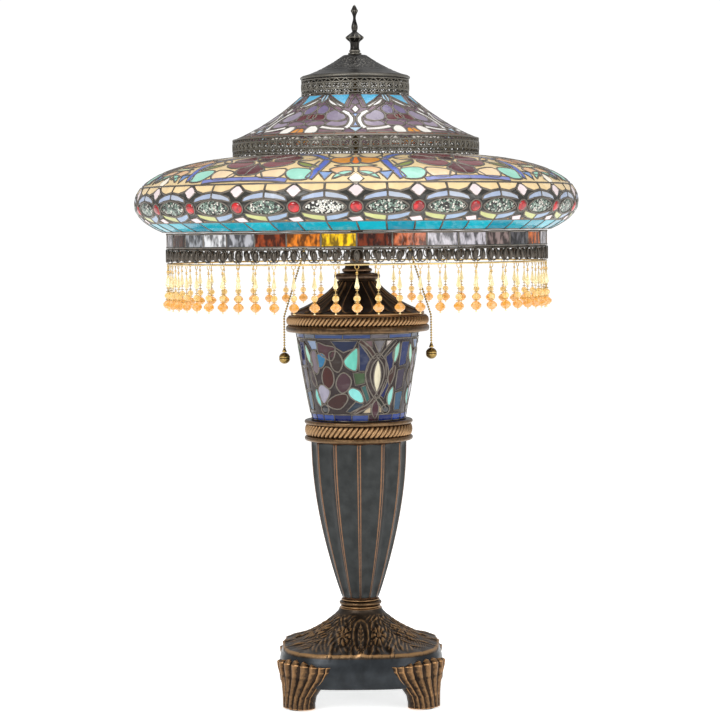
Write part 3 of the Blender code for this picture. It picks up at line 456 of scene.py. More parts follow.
@dataclass(frozen=True)
class PlainFinish(Finish):
    """A moulded, rolled or plated surface in two close tones with a fine grain."""

    label: str
    tone: str
    second: str
    roughness: float
    metallic: float = 0.0
    grain_size: float = 0.004
    depth: float = 0.00006
    glow: float = 0.0

    def dress(self, tree: bpy.types.NodeTree, shader: bpy.types.Node) -> None:
        """Two tones, a little uneven gloss and a fine grain."""
        clouds = between(tree, grain(tree, self.grain_size * 4), 0.35, 0.65)
        colour = blended(tree, clouds, linear(self.tone), linear(self.second))
        tree.links.new(colour, shader.inputs["Base Color"])
        if self.glow:
            tree.links.new(colour, shader.inputs["Emission Color"])
            shader.inputs["Emission Strength"].default_value = self.glow
        gloss = add_node(
            tree,
            "ShaderNodeMapRange",
            {
                "Value": grain(tree, self.grain_size),
                "To Min": max(0.02, self.roughness - 0.06),
                "To Max": self.roughness + 0.08,
            },
        )
        tree.links.new(gloss.outputs["Result"], shader.inputs["Roughness"])
        shader.inputs["Metallic"].default_value = self.metallic
        relief(tree, shader, grain(tree, self.grain_size, 4.0), self.depth)


# Cold-cast bronze powder over a zinc casting: near black, copper on the worn ribs.
BRONZE = CastMetal("antique bronze casting", "#2a221b", "#453a30", "#b08a60", 0.36, 0.85, 0.00012, 0.52, 0.84)
# The feet are plated brighter than the cone, gold brown along every flute.
FOOT_BRONZE = CastMetal(
    "gold-washed bronze casting", "#221a15", "#3a2d23", "#b98d60", 0.32, 0.88, 0.0001, 0.52, 0.86
)
# The skirt is buffed a little smoother, and its cool grey tone is a painted sheen.
SKIRT_BRONZE = CastMetal(
    "buffed bronze casting", "#26292c", "#34383c", "#4a443e", 0.32, 0.7, 0.00004, 0.9, 1.1
)
# The column is blacker than the base and its ribs are rubbed to copper.
COLUMN_BRONZE = CastMetal(
    "blackened bronze casting", "#2a2c2c", "#383a3a", "#8a6448", 0.32, 0.7, 0.00005, 0.68, 0.86
)
# The neck is turned, so it is smoother, with copper on its flange.
NECK_BRONZE = CastMetal(
    "turned antique bronze", "#26221f", "#3d352f", "#8c7058", 0.30, 0.85, 0.00005, 0.58, 0.80
)
# Copper-plated rope work: warm crests, brown hollows.
COPPER = CastMetal("antique copper plate", "#2a2018", "#433426", "#a98660", 0.32, 0.9, 0.0001, 0.62, 0.95)
# Blackened pewter of the small cast loops, dark even on their crests.
TRIM = CastMetal("blackened pewter", "#171513", "#262320", "#5d564e", 0.36, 0.8, 0.00005, 0.60, 0.95)
# Spun and chased pewter: soft grey, dark hollows, bright lip.
PEWTER = CastMetal("antique pewter", "#191817", "#2e2c2a", "#7d7970", 0.34, 0.85, 0.00008, 0.58, 0.9)
# Lead came with tinned solder, dull grey brown with lighter crowns.
CAME = CastMetal("leaded came", "#1f1d1b", "#38342f", "#736c64", 0.36, 0.7, 0.0001, 0.60, 1.0, 0.010)
# Antique brass, lightly lacquered.
BRASS = CastMetal("antique brass", "#3d301a", "#64502a", "#c9a966", 0.34, 0.95, 0.00006, 0.50, 0.8)
# Gilt wire of the bead strands, bright drawn metal.
GILT = PlainFinish("gilt wire", "#c9a560", "#ecd49a", 0.25, 0.9)
# Zinc-plated pressed steel, slightly spangled.
STEEL = PlainFinish("zinc plated steel", "#8d8f92", "#a8abae", 0.36, 1.0)
# Raw grey iron casting, matt and pitted.
IRON = PlainFinish("grey iron casting", "#2e2e2f", "#474645", 0.72, 0.6, 0.003, 0.0002)
# Moulded rubber, matt with a faint bloom.
RUBBER = PlainFinish("moulded rubber", "#161617", "#232324", 0.82)
# Moulded phenolic, satin and almost black.
PHENOLIC = PlainFinish("moulded phenolic", "#171615", "#24221f", 0.4)
# Glazed porcelain of the small socket.
PORCELAIN = PlainFinish("glazed porcelain", "#e4e0d6", "#d2ccbd", 0.2)
# Inside-frosted bulb glass: milky, warm white.
BULB = PlainFinish("frosted bulb glass", "#f3ead6", "#fff8ea", 0.25, 0.0, 0.006, 0.00002, 0.3)

OPAL = LeadedGlass("opalescent glass")
# The turquoise has a strong painted glow, its sixth value, for light shining through it.
TURQUOISE = LeadedGlass("turquoise cathedral glass", 0.010, 0.25, 0.03, 0.09, 0.30, 0.0003)
URN_GLASS = LeadedGlass("urn art glass", 0.009, 0.55, 0.05, 0.07, 0.0, 0.0005)
CHIPS = CrackleGlass()
# The front medallion's glass is painted white, a stand-in for light shining through it from behind.
BACKLIT_WHITE_CHIPS = CrackleGlass("fused white chip glass", 0.0023, "#f1eee6", "#e4e6dc")
AMBER = RippleGlass()
RED_JEWEL = PressedJewel("red pressed glass", "#78040f", "#cc1218", 0.10)
BLACK_JEWEL = PressedJewel("black pressed glass", "#08090c", "#23282e", 0.0)
BEADS = BeadGlass()


# ---------------------------------------------------------------- meshes
class Shading(Enum):
    """How a piece's faces meet."""

    SMOOTH = "smooth"
    FACETED = "faceted"


def linked(name: str, mesh: bpy.types.Mesh) -> bpy.types.Object:
    """A new object for a mesh, linked to the scene."""
    made = bpy.data.objects.new(name, mesh)
    bpy.context.scene.collection.objects.link(made)
    return made


def mark_rub(mesh: bpy.types.Mesh) -> None:
    """Stores how far each vertex stands proud of its neighbours, for the worn finishes."""
    count = len(mesh.vertices)
    places = np.empty(count * 3)
    mesh.vertices.foreach_get("co", places)
    places = places.reshape(-1, 3)
    normals = np.array([vertex.normal for vertex in mesh.vertices])
    ends = np.empty(len(mesh.edges) * 2, np.int32)
    mesh.edges.foreach_get("vertices", ends)
    first, second = ends.reshape(-1, 2).T
    step = places[first] - places[second]
    step /= np.maximum(np.linalg.norm(step, axis=1, keepdims=True), 1e-9)
    bend = np.zeros(count)
    degree = np.zeros(count)
    np.add.at(bend, first, (normals[first] * step).sum(1))
    np.add.at(bend, second, -(normals[second] * step).sum(1))
    np.add.at(degree, first, 1)
    np.add.at(degree, second, 1)
    bend /= np.maximum(degree, 1)
    layer = mesh.attributes.new("rub", "FLOAT", "POINT")
    layer.data.foreach_set("value", np.clip(0.5 + bend * 2.2, 0, 1).astype(np.float32))


def settle(
    piece: bpy.types.Object,
    finish: Finish,
    body: str,
    stands_for: Iterable[str] = (),
) -> bpy.types.Object:
    """Gives a finished piece its finish, its body and the nodes that it stands for.

    Args:
        piece: The piece, in place.
        finish: Its finish.
        body: The body of the frame that it moves with.
        stands_for: Nodes of the frame that it replaces.

    Returns:
        The piece.
    """
    mesh = piece.data
    mesh.materials.clear()
    mesh.materials.append(finish.material())
    mesh.polygons.foreach_set("material_index", [0] * len(mesh.polygons))
    if isinstance(finish, CastMetal) and "rub" not in mesh.attributes:
        mark_rub(mesh)
    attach(piece, body)
    nodes = list(stands_for)
    if nodes:
        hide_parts(*nodes)
    LOG.info("%s: %d faces, on %s", piece.name, len(mesh.polygons), body)
    return piece


def skinned(
    name: str,
    point: Callable[[float, float], Vector],
    around: int,
    along: int,
    shading: Shading = Shading.SMOOTH,
    looped: bool = False,
) -> bpy.types.Object:
    """A closed skin over rings of points.

    Args:
        name: The piece's name.
        point: Gives the place at a share of the turn and a share of the way along.
        around: Steps in one ring.
        along: Steps from the first ring to the last.
        shading: Whether the faces flow into each other.
        looped: Whether the last ring joins the first, as on a wall with an inner face.

    Returns:
        The piece, with its end rings filled unless it is looped.
    """
    shape = bmesh.new()
    rings = []
    for j in range(along + (0 if looped else 1)):
        rings.append([shape.verts.new(point(i / around, j / along)) for i in range(around)])
    pairs = list(zip(rings, rings[1:]))
    if looped:
        pairs.append((rings[-1], rings[0]))
    for lower, upper in pairs:
        for i in range(around):
            k = (i + 1) % around
            shape.faces.new((lower[i], lower[k], upper[k], upper[i]))
    if not looped:
        shape.faces.new(rings[0])
        shape.faces.new(rings[-1])
    bmesh.ops.remove_doubles(shape, verts=shape.verts, dist=1e-6)
    bmesh.ops.recalc_face_normals(shape, faces=shape.faces)
    for face in shape.faces:
        face.smooth = shading is Shading.SMOOTH and len(face.verts) < 5
    mesh = bpy.data.meshes.new(name)
    shape.to_mesh(mesh)
    shape.free()
    return linked(name, mesh)


def turned(
    name: str,
    profile: Sequence[Flat],
    steps: int = 64,
    shading: Shading = Shading.SMOOTH,
    place: Matrix | None = None,
    looped: bool = False,
) -> bpy.types.Object:
    """A profile turned about the lamp's axis, or about another one.

    Args:
        name: The piece's name.
        profile: Radius and height of each point, from one end to the other.
        steps: Steps round the axis.
        shading: Whether the faces flow into each other.
        place: Where the turned piece goes.
        looped: Whether the profile closes on itself, as a ring does.

    Returns:
        The piece.
    """
    where = place or Matrix.Identity(4)
    count = len(profile)

    def point(turn: float, share: float) -> Vector:
        """A point of the profile turned round the axis."""
        radius, height = profile[round(share * (count if looped else count - 1)) % count]
        angle = math.tau * turn
        radius = max(radius, 1e-5)
        return where @ Vector((radius * math.sin(angle), -radius * math.cos(angle), height))

    return skinned(name, point, steps, count if looped else count - 1, shading, looped)


def joined(name: str, pieces: Sequence[bpy.types.Object]) -> bpy.types.Object:
    """Several pieces made one mesh."""
    shape = bmesh.new()
    for piece in pieces:
        shape.from_mesh(piece.data)
        bpy.data.objects.remove(piece)
    mesh = bpy.data.meshes.new(name)
    shape.to_mesh(mesh)
    shape.free()
    return linked(name, mesh)


def wires(name: str, lines: Sequence[tuple[Sequence[Vector], bool]]) -> bpy.types.Object:
    """Lines as a mesh of edges only, ready to be given thickness.

    Args:
        name: The object's name.
        lines: Each line's points, and whether it closes.

    Returns:
        The object.
    """
    places: list[Vector] = []
    edges: list[tuple[int, int]] = []
    for points, closed in lines:
        start = len(places)
        places.extend(points)
        count = len(points)
        edges.extend((start + i, start + i + 1) for i in range(count - 1))
        if closed:
            edges.append((start + count - 1, start))
    mesh = bpy.data.meshes.new(name)
    mesh.from_pydata(places, edges, [])
    return linked(name, mesh)


# ---------------------------------------------------------------- geometry node tools
class NodeTool:
    """A Geometry Nodes tree with named inputs, run on an object and then taken off it."""

    title = ""
    inputs: tuple[tuple[str, str], ...] = ()

    def __init__(self) -> None:
        """Builds the tree once."""
        tree = bpy.data.node_groups.new(self.title, "GeometryNodeTree")
        sockets = (("Geometry", "NodeSocketGeometry"), ("Material", "NodeSocketMaterial"))
        for label, kind in sockets + self.inputs:
            tree.interface.new_socket(label, in_out="INPUT", socket_type=kind)
        tree.interface.new_socket("Geometry", in_out="OUTPUT", socket_type="NodeSocketGeometry")
        self.tree = tree
        self.given = add_node(tree, "NodeGroupInput").outputs
        whole = add_node(tree, "GeometryNodeRealizeInstances", {"Geometry": self.shape()})
        dressed = add_node(
            tree,
            "GeometryNodeSetMaterial",
            {"Geometry": whole.outputs[0], "Material": self.given["Material"]},
        )
        add_node(tree, "NodeGroupOutput", {"Geometry": dressed.outputs[0]})

    def shape(self) -> bpy.types.NodeSocket:
        """Adds the tool's own nodes and gives their geometry."""
        raise NotImplementedError

    def run(
        self, source: bpy.types.Object, name: str, finish: Finish, **values: float
    ) -> bpy.types.Object:
        """Runs the tree on an object and keeps the result as a plain mesh.

        Args:
            source: The object that goes in; it is used up.
            name: The new object's name.
            finish: The finish that the tree sets.
            **values: The tree's inputs by name, with _ for a space.

        Returns:
            The new object.
        """
        modifier = source.modifiers.new(self.title, "NODES")
        modifier.node_group = self.tree
        wanted = {key.replace("_", " "): value for key, value in values.items()}
        wanted["Material"] = finish.material()
        for item in self.tree.interface.items_tree:
            if item.in_out == "INPUT" and item.name in wanted:
                modifier[item.identifier] = wanted[item.name]
        graph = bpy.context.evaluated_depsgraph_get()
        mesh = bpy.data.meshes.new_from_object(source.evaluated_get(graph))
        source.modifiers.clear()
        bpy.data.objects.remove(source)
        mesh.name = name
        return linked(name, mesh)


class SweepTool(NodeTool):
    """Gives lines a round section, as came and wire have."""

    title = "round section along lines"
    inputs = (("Radius", "NodeSocketFloat"), ("Sides", "NodeSocketInt"))

    def shape(self) -> bpy.types.NodeSocket:
        """Lines to curves, and a circle along them."""
        tree = self.tree
        curve = add_node(tree, "GeometryNodeMeshToCurve", {"Mesh": self.given["Geometry"]})
        circle = add_node(
            tree,
            "GeometryNodeCurvePrimitiveCircle",
            {"Resolution": self.given["Sides"], "Radius": self.given["Radius"]},
        )
        tube = add_node(
            tree,
            "GeometryNodeCurveToMesh",
            {"Curve": curve.outputs[0], "Profile Curve": circle.outputs[0], "Fill Caps": True},
        )
        smooth = add_node(tree, "GeometryNodeSetShadeSmooth", {"Geometry": tube.outputs[0]})
        return smooth.outputs[0]


class RingTool(NodeTool):
    """Repeats a piece at even steps round the lamp's axis."""

    title = "repeat round the axis"
    inputs = (("Count", "NodeSocketInt"), ("Seed", "NodeSocketInt"))

    def shape(self) -> bpy.types.NodeSocket:
        """One point for each copy, all at the axis, each turned a step further."""
        tree = self.tree
        points = add_node(tree, "GeometryNodePoints", {"Count": self.given["Count"]})
        index = add_node(tree, "GeometryNodeInputIndex").outputs[0]
        step = add_node(
            tree, "ShaderNodeMath", {0: math.tau, 1: self.given["Count"]}, operation="DIVIDE"
        )
        turn = add_node(
            tree, "ShaderNodeMath", {0: index, 1: step.outputs[0]}, operation="MULTIPLY"
        )
        rotation = add_node(tree, "ShaderNodeCombineXYZ", {"Z": turn.outputs[0]})
        copies = add_node(
            tree,
            "GeometryNodeInstanceOnPoints",
            {
                "Points": points.outputs[0],
                "Instance": self.given["Geometry"],
                "Rotation": rotation.outputs[0],
            },
        )
        chance = add_node(tree, "FunctionNodeRandomValue", {"Seed": self.given["Seed"]})
        kept = add_node(
            tree,
            "GeometryNodeStoreNamedAttribute",
            {"Geometry": copies.outputs[0], "Name": "vary", "Value": chance.outputs[1]},
            data_type="FLOAT",
            domain="INSTANCE",
        )
        return kept.outputs[0]


class BeadTool(NodeTool):
    """Strings round beads along lines at an even spacing, as in a ball chain."""

    title = "beads along lines"
    inputs = (("Radius", "NodeSocketFloat"), ("Spacing", "NodeSocketFloat"))

    def shape(self) -> bpy.types.NodeSocket:
        """Lines cut to even lengths with a small ball on each point."""
        tree = self.tree
        curve = add_node(tree, "GeometryNodeMeshToCurve", {"Mesh": self.given["Geometry"]})
        even = add_node(
            tree,
            "GeometryNodeResampleCurve",
            {"Curve": curve.outputs[0], "Length": self.given["Spacing"]},
            mode="LENGTH",
        )
        ball = add_node(
            tree,
            "GeometryNodeMeshIcoSphere",
            {"Radius": self.given["Radius"], "Subdivisions": 2},
        )
        round_ball = add_node(tree, "GeometryNodeSetShadeSmooth", {"Geometry": ball.outputs[0]})
        beads = add_node(
            tree,
            "GeometryNodeInstanceOnPoints",
            {"Points": even.outputs[0], "Instance": round_ball.outputs[0]},
        )
        return beads.outputs[0]


SWEEP = SweepTool()
RING = RingTool()
STRING = BeadTool()


# ---------------------------------------------------------------- leaded glass
class TurnedSurface:
    """A surface turned about the lamp's axis, addressed by angle and share of its depth."""

    def __init__(self, profile: Sequence[Flat]) -> None:
        """Measures the profile.

        Args:
            profile: Radius and height of each point, from the top down.
        """
        self.profile = list(profile)
        self.steps = [0.0]
        for start, end in zip(self.profile, self.profile[1:]):
            self.steps.append(self.steps[-1] + math.dist(start, end))
        self.length = self.steps[-1]

    def at(self, share: float) -> tuple[float, float, float, float]:
        """Radius, height and outward direction at a share of the depth."""
        goal = min(self.length, max(0.0, share * self.length))
        index = 0
        while index < len(self.steps) - 2 and self.steps[index + 1] < goal:
            index += 1
        span = self.steps[index + 1] - self.steps[index]
        part = (goal - self.steps[index]) / span if span else 0.0
        (r0, z0), (r1, z1) = self.profile[index], self.profile[index + 1]
        along = ((r1 - r0) / span, (z1 - z0) / span)
        return r0 + (r1 - r0) * part, z0 + (z1 - z0) * part, -along[1], along[0]

    def radius(self, share: float) -> float:
        """Radius at a share of the depth."""
        return self.at(share)[0]

    def share_at_radius(self, radius: float) -> float:
        """Share of the depth at which the surface first reaches a radius."""
        for i in range(201):
            if self.at(i / 200)[0] >= radius:
                return i / 200
        return 1.0

    def share_at_height(self, height: float) -> float:
        """Share of the depth at which the surface first falls to a height."""
        for i in range(401):
            if self.at(i / 400)[1] <= height:
                return i / 400
        return 1.0

    def place(self, angle: float, share: float, lift: float = 0.0) -> Vector:
        """A point of the surface, raised outwards by a lift."""
        radius, height, out, up = self.at(share)
        radius += out * lift
        turn = math.radians(angle)
        return Vector((radius * math.sin(turn), -radius * math.cos(turn), height + up * lift))

    def moved(self, point: Flat, across: float, down: float) -> Flat:
        """A point moved by millimetres across and down the surface."""
        turn = math.degrees(across * MM / self.radius(point[1]))
        return (point[0] + turn, point[1] + down * MM / self.length)


@dataclass
class Pane:
    """One cut piece of glass."""

    outline: list[Flat]
    tint: str
    layer: int


@dataclass
class GlassPattern:
    """The panes and came lines of one repeat of a leaded surface.

    Points are an angle in degrees and a share of the surface's depth. Panes lie a hair
    above the ground glass, and a later layer above an earlier one.
    """

    surface: TurnedSurface
    mirrored: bool = True
    panes: list[Pane] = field(default_factory=list)
    lines: list[tuple[list[Flat], bool]] = field(default_factory=list)

    def pane(self, outline: Sequence[Flat], tint: str, layer: int = 1, both: bool = True) -> None:
        """Adds a pane with came round it, and its mirror image where it has one."""
        points = list(outline)
        self.panes.append(Pane(points, tint, layer))
        self.lines.append((points, True))
        if self.mirrored and both:
            flipped = [(-angle, share) for angle, share in reversed(points)]
            self.panes.append(Pane(flipped, tint, layer))
            self.lines.append((flipped, True))

    def line(self, points: Sequence[Flat], both: bool = True) -> None:
        """Adds a bare came line."""
        self.lines.append((list(points), False))
        if self.mirrored and both:
            self.lines.append(([(-angle, share) for angle, share in points], False))

    def shaped(self, points: Sequence[Flat], tint: str, layer: int = 1, both: bool = True) -> None:
        """Adds a pane whose edge runs smoothly through the points."""
        self.pane(curved(points, 3, closed=True), tint, layer, both)

    def leaf(
        self, start: Flat, end: Flat, width: float, tint: str, bow: float = 0.0,
        layer: int = 1, both: bool = True,
    ) -> None:
        """Adds a leaf with a point at either end.

        Args:
            start: One point.
            end: The other.
            width: Greatest width in millimetres.
            tint: Its colour.
            bow: How far its middle swings aside, in millimetres.
            layer: Its layer.
            both: Whether its mirror image is made too.
        """
        middle = (start[1] + end[1]) / 2
        per_degree = math.radians(1) * self.surface.radius(middle) / MM
        across = (end[0] - start[0]) * per_degree
        down = (end[1] - start[1]) * self.surface.length / MM
        size = math.hypot(across, down) or 1.0
        side = (-down / size, across / size)
        outline = []
        for sign, shares in ((1, range(0, 8)), (-1, range(8, 0, -1))):
            for i in shares:
                t = i / 8
                swing = bow * math.sin(math.pi * t) + sign * width / 2 * math.sin(math.pi * t) ** 0.8
                base = (start[0] + (end[0] - start[0]) * t, start[1] + (end[1] - start[1]) * t)
                outline.append(self.surface.moved(base, side[0] * swing, side[1] * swing))
        self.pane(outline, tint, layer, both)

    def ribbon(
        self, points: Sequence[Flat], width: float, tint: str, layer: int = 1, both: bool = True
    ) -> None:
        """Adds a band of even width, in millimetres, along a smooth line."""
        line = curved(points, 3)
        left, right = [], []
        for i, point in enumerate(line):
            before, after = line[max(0, i - 1)], line[min(len(line) - 1, i + 1)]
            per_degree = math.radians(1) * self.surface.radius(point[1]) / MM
            across = (after[0] - before[0]) * per_degree
            down = (after[1] - before[1]) * self.surface.length / MM
            size = math.hypot(across, down) or 1.0
            side = (-down / size * width / 2, across / size * width / 2)
            left.append(self.surface.moved(point, *side))
            right.append(self.surface.moved(point, -side[0], -side[1]))
        self.pane(left + right[::-1], tint, layer, both)

    def disc(
        self, centre: Flat, across: float, down: float, tint: str, layer: int = 2, both: bool = True,
        corners: int = 16, power: float = 2.0,
    ) -> None:
        """Adds a round, oval or diamond pane with half sizes in millimetres."""
        outline = []
        for i in range(corners):
            turn = math.tau * i / corners
            x = math.copysign(abs(math.cos(turn)) ** (2 / power), math.cos(turn)) * across
            y = math.copysign(abs(math.sin(turn)) ** (2 / power), math.sin(turn)) * down
            outline.append(self.surface.moved(centre, x, y))
        self.pane(outline, tint, layer, both)


@dataclass(frozen=True)
class LeadedSkin:
    """Turns a pattern into glass slabs and came, repeated round the lamp."""

    name: str
    body: str
    repeats: int
    came_radius: float = 0.0017
    thick: float = 0.0030
    grid_angle: float = 3.0
    grid_down: float = 0.009

    def cut(self, surface: TurnedSurface, outline: Sequence[Flat]) -> tuple[list[Flat], list[list[int]]]:
        """Cuts an outline into small faces that can follow the surface."""
        shape = bmesh.new()
        drawn = [shape.verts.new((angle, share * 100, 0)) for angle, share in outline]
        bmesh.ops.triangulate(shape, faces=[shape.faces.new(drawn)])
        angles = [p[0] for p in outline]
        shares = [p[1] * 100 for p in outline]
        step = self.grid_down / surface.length * 100
        grids = ((0, self.grid_angle, angles), (1, step, shares))
        for axis, size, values in grids:
            place = math.floor(min(values) / size) + 1
            while place * size < max(values) - 1e-6:
                where, across = Vector((0, 0, 0)), Vector((0, 0, 0))
                where[axis] = place * size
                across[axis] = 1.0
                whole = shape.verts[:] + shape.edges[:] + shape.faces[:]
                bmesh.ops.bisect_plane(shape, geom=whole, plane_co=where, plane_no=across, dist=1e-5)
                place += 1
        shape.normal_update()
        total = sum(face.normal.z * face.calc_area() for face in shape.faces)
        if total > 0:
            bmesh.ops.reverse_faces(shape, faces=shape.faces)
        shape.verts.index_update()
        points = [(vert.co.x, vert.co.y / 100) for vert in shape.verts]
        faces = [[vert.index for vert in face.verts] for face in shape.faces]
        shape.free()
        return points, faces

    def slabs(self, pattern: GlassPattern) -> bpy.types.Object:
        """Every pane of one repeat as a closed slab with its tint on it."""
        surface = pattern.surface
        places: list[Vector] = []
        faces: list[list[int]] = []
        tints: list[Colour] = []
        for pane in pattern.panes:
            points, cut_faces = self.cut(surface, pane.outline)
            outer = -0.0010 + pane.layer * 0.00022
            inner = -self.thick + 0.0006 - pane.layer * 0.00015
            start, count = len(places), len(points)
            places.extend(surface.place(a, s, outer) for a, s in points)
            places.extend(surface.place(a, s, inner) for a, s in points)
            edges: set[tuple[int, int]] = set()
            made = []
            for face in cut_faces:
                made.append([start + i for i in face])
                made.append([start + count + i for i in reversed(face)])
                edges.update(zip(face, face[1:] + face[:1]))
            for a, b in edges:
                if (b, a) not in edges:
                    made.append([start + b, start + a, start + count + a, start + count + b])
            faces.extend(made)
            tints.extend([linear(pane.tint)] * len(made))
        mesh = bpy.data.meshes.new(self.name)
        mesh.from_pydata(places, [], faces)
        layer = mesh.color_attributes.new("tint", "FLOAT_COLOR", "CORNER")
        values = []
        for polygon, tint in zip(mesh.polygons, tints):
            values.extend(tint * polygon.loop_total)
        layer.data.foreach_set("color", values)
        mesh.polygons.foreach_set("use_smooth", [False] * len(mesh.polygons))
        return linked(self.name, mesh)

    def make(
        self, pattern: GlassPattern, finish: Finish, stands_for: Iterable[str]
    ) -> tuple[bpy.types.Object, bpy.types.Object]:
        """Makes the glass and its came all the way round.

        Args:
            pattern: One repeat, centred on the front.
            finish: The glass.
            stands_for: Nodes of the frame that the glass replaces.

        Returns:
            The glass and the came.
        """
        glass = RING.run(self.slabs(pattern), self.name, finish, Count=self.repeats, Seed=3)
        settle(glass, finish, self.body, stands_for)
        surface = pattern.surface
        lift = -self.came_radius - 0.00005
        drawn = []
        for points, closed in pattern.lines:
            fine = self.followed(surface, points, closed)
            drawn.append(([surface.place(a, s, lift) for a, s in fine], closed))
        tubes = SWEEP.run(
            wires(f"{self.name}_came", drawn), f"{self.name}_came", CAME,
            Radius=self.came_radius, Sides=6,
        )
        came = RING.run(tubes, f"{self.name}_came", CAME, Count=self.repeats, Seed=1)
        settle(came, CAME, self.body, ())
        return glass, came

    @staticmethod
    def followed(surface: TurnedSurface, points: Sequence[Flat], closed: bool) -> list[Flat]:
        """A line with enough points to follow the surface."""
        ends = list(points[1:]) + ([points[0]] if closed else [])
        fine = []
        for start, end in zip(points, ends):
            across = math.radians(abs(end[0] - start[0])) * surface.radius(start[1])
            size = math.hypot(across, (end[1] - start[1]) * surface.length)
            steps = max(1, round(size / 0.010))
            for i in range(steps):
                t = i / steps
                fine.append((start[0] + (end[0] - start[0]) * t, start[1] + (end[1] - start[1]) * t))
        if not closed:
            fine.append(points[-1])
        return fine


# ---------------------------------------------------------------- shade
@dataclass
class ShadeMetal:
    """Cap and pierced bands of the shade."""

    body: str = "shade"
    wire: float = 0.00095

    def cap(self) -> None:
        """Spun cap, chased with scrolls round its crown, with a rolled lip."""
        low, high = box_heights("shade_cap")
        lip = box_radius("shade_cap") - 0.0012
        crown = 0.0132

        def outer(share: float) -> Flat:
            """Radius and height down the outer face."""
            if share < 0.86:
                s = share / 0.86
                return crown + (lip - crown) * s, high - 0.024 * (1 - (1 - s) ** 1.35)
            turn = math.radians(100 - 200 * (share - 0.86) / 0.14)
            return lip - 0.0010 + 0.0021 * math.cos(turn), high - 0.0262 + 0.0018 * math.sin(turn)

        def point(turn: float, share: float) -> Vector:
            """Outer face, then the inner one back up."""
            angle = math.tau * turn
            if share <= 0.5:
                radius, height = outer(share * 2)
                s = share * 2 / 0.86
                if 0.06 < s < 0.62:
                    fade = smooth_step(0.06, 0.12, s) * (1 - smooth_step(0.54, 0.62, s))
                    swirl = math.sin(16 * angle + 5 * math.sin(s * 13))
                    swirl *= math.cos(s * 34 + 2 * math.sin(16 * angle))
                    vein = math.sin(32 * angle - 7 * math.sin(s * 17))
                    height -= 0.0009 * fade * (0.5 - 0.5 * max(-0.3, swirl) - 0.12 * vein)
                if 0.62 < s < 0.67:
                    height -= 0.0005 * math.sin((s - 0.62) / 0.05 * math.pi)
            else:
                radius, height = outer((1 - share) * 2 * 0.9)
                radius, height = max(0.004, radius - 0.0016), height - 0.0018
            return Vector((radius * math.sin(angle), -radius * math.cos(angle), max(low, height)))

        piece = skinned("cap_spun", point, 288, 100)
        settle(piece, PEWTER, self.body, ("shade_cap",))

    def band(self, node: str, cells: int, rings: int) -> None:
        """A pierced band: rails, a row of rings with diamonds, and zigzags above and below.

        Args:
            node: The node of the frame that it stands for.
            cells: How many openwork cells go round it.
            rings: Points in one ring.
        """
        low, high = box_heights(node)
        radius = box_radius(node) - self.wire - 0.0003
        half = math.pi / cells
        height = high - low - 2 * self.wire

        def at(turn: float, share: float, sink: float = 0.0) -> Vector:
            """A place on the band: -1 to 1 across a cell, 0 to 1 down it."""
            angle = turn * half
            reach = radius - sink
            return Vector(
                (reach * math.sin(angle), -reach * math.cos(angle), high - self.wire - share * height)
            )

        lines: list[tuple[list[Vector], bool]] = []
        for share in (0.0, 0.25, 0.75, 1.0):
            lines.append(([at(-1.02, share), at(1.02, share)], False))
        for top, bottom in ((0.0, 0.25), (1.0, 0.75)):
            lines.append(([at(-1, bottom, 0.0004), at(0, top, 0.0004), at(1, bottom, 0.0004)], False))
        ring = []
        for i in range(rings):
            turn = math.tau * i / rings
            ring.append(at(0.92 * math.sin(turn), 0.5 + 0.235 * math.cos(turn), 0.0003))
        lines.append((ring, True))
        lines.append(([at(-0.5, 0.5), at(0, 0.35), at(0.5, 0.5), at(0, 0.65)], True))
        for side in (-1, 1):
            lines.append(([at(side, 0.25), at(side, 0.75)], False))
        name = node.replace("_band", "")
        cell = SWEEP.run(wires(name, lines), name, PEWTER, Radius=self.wire, Sides=5)
        band = RING.run(cell, f"{name}_openwork", PEWTER, Count=cells, Seed=2)
        settle(band, PEWTER, self.body, (node,))

    def build(self) -> None:
        """Makes the metal of the shade."""
        self.cap()
        self.band("filigree_band_upper", 36, 10)
        self.band("filigree_band_lower", 80, 10)


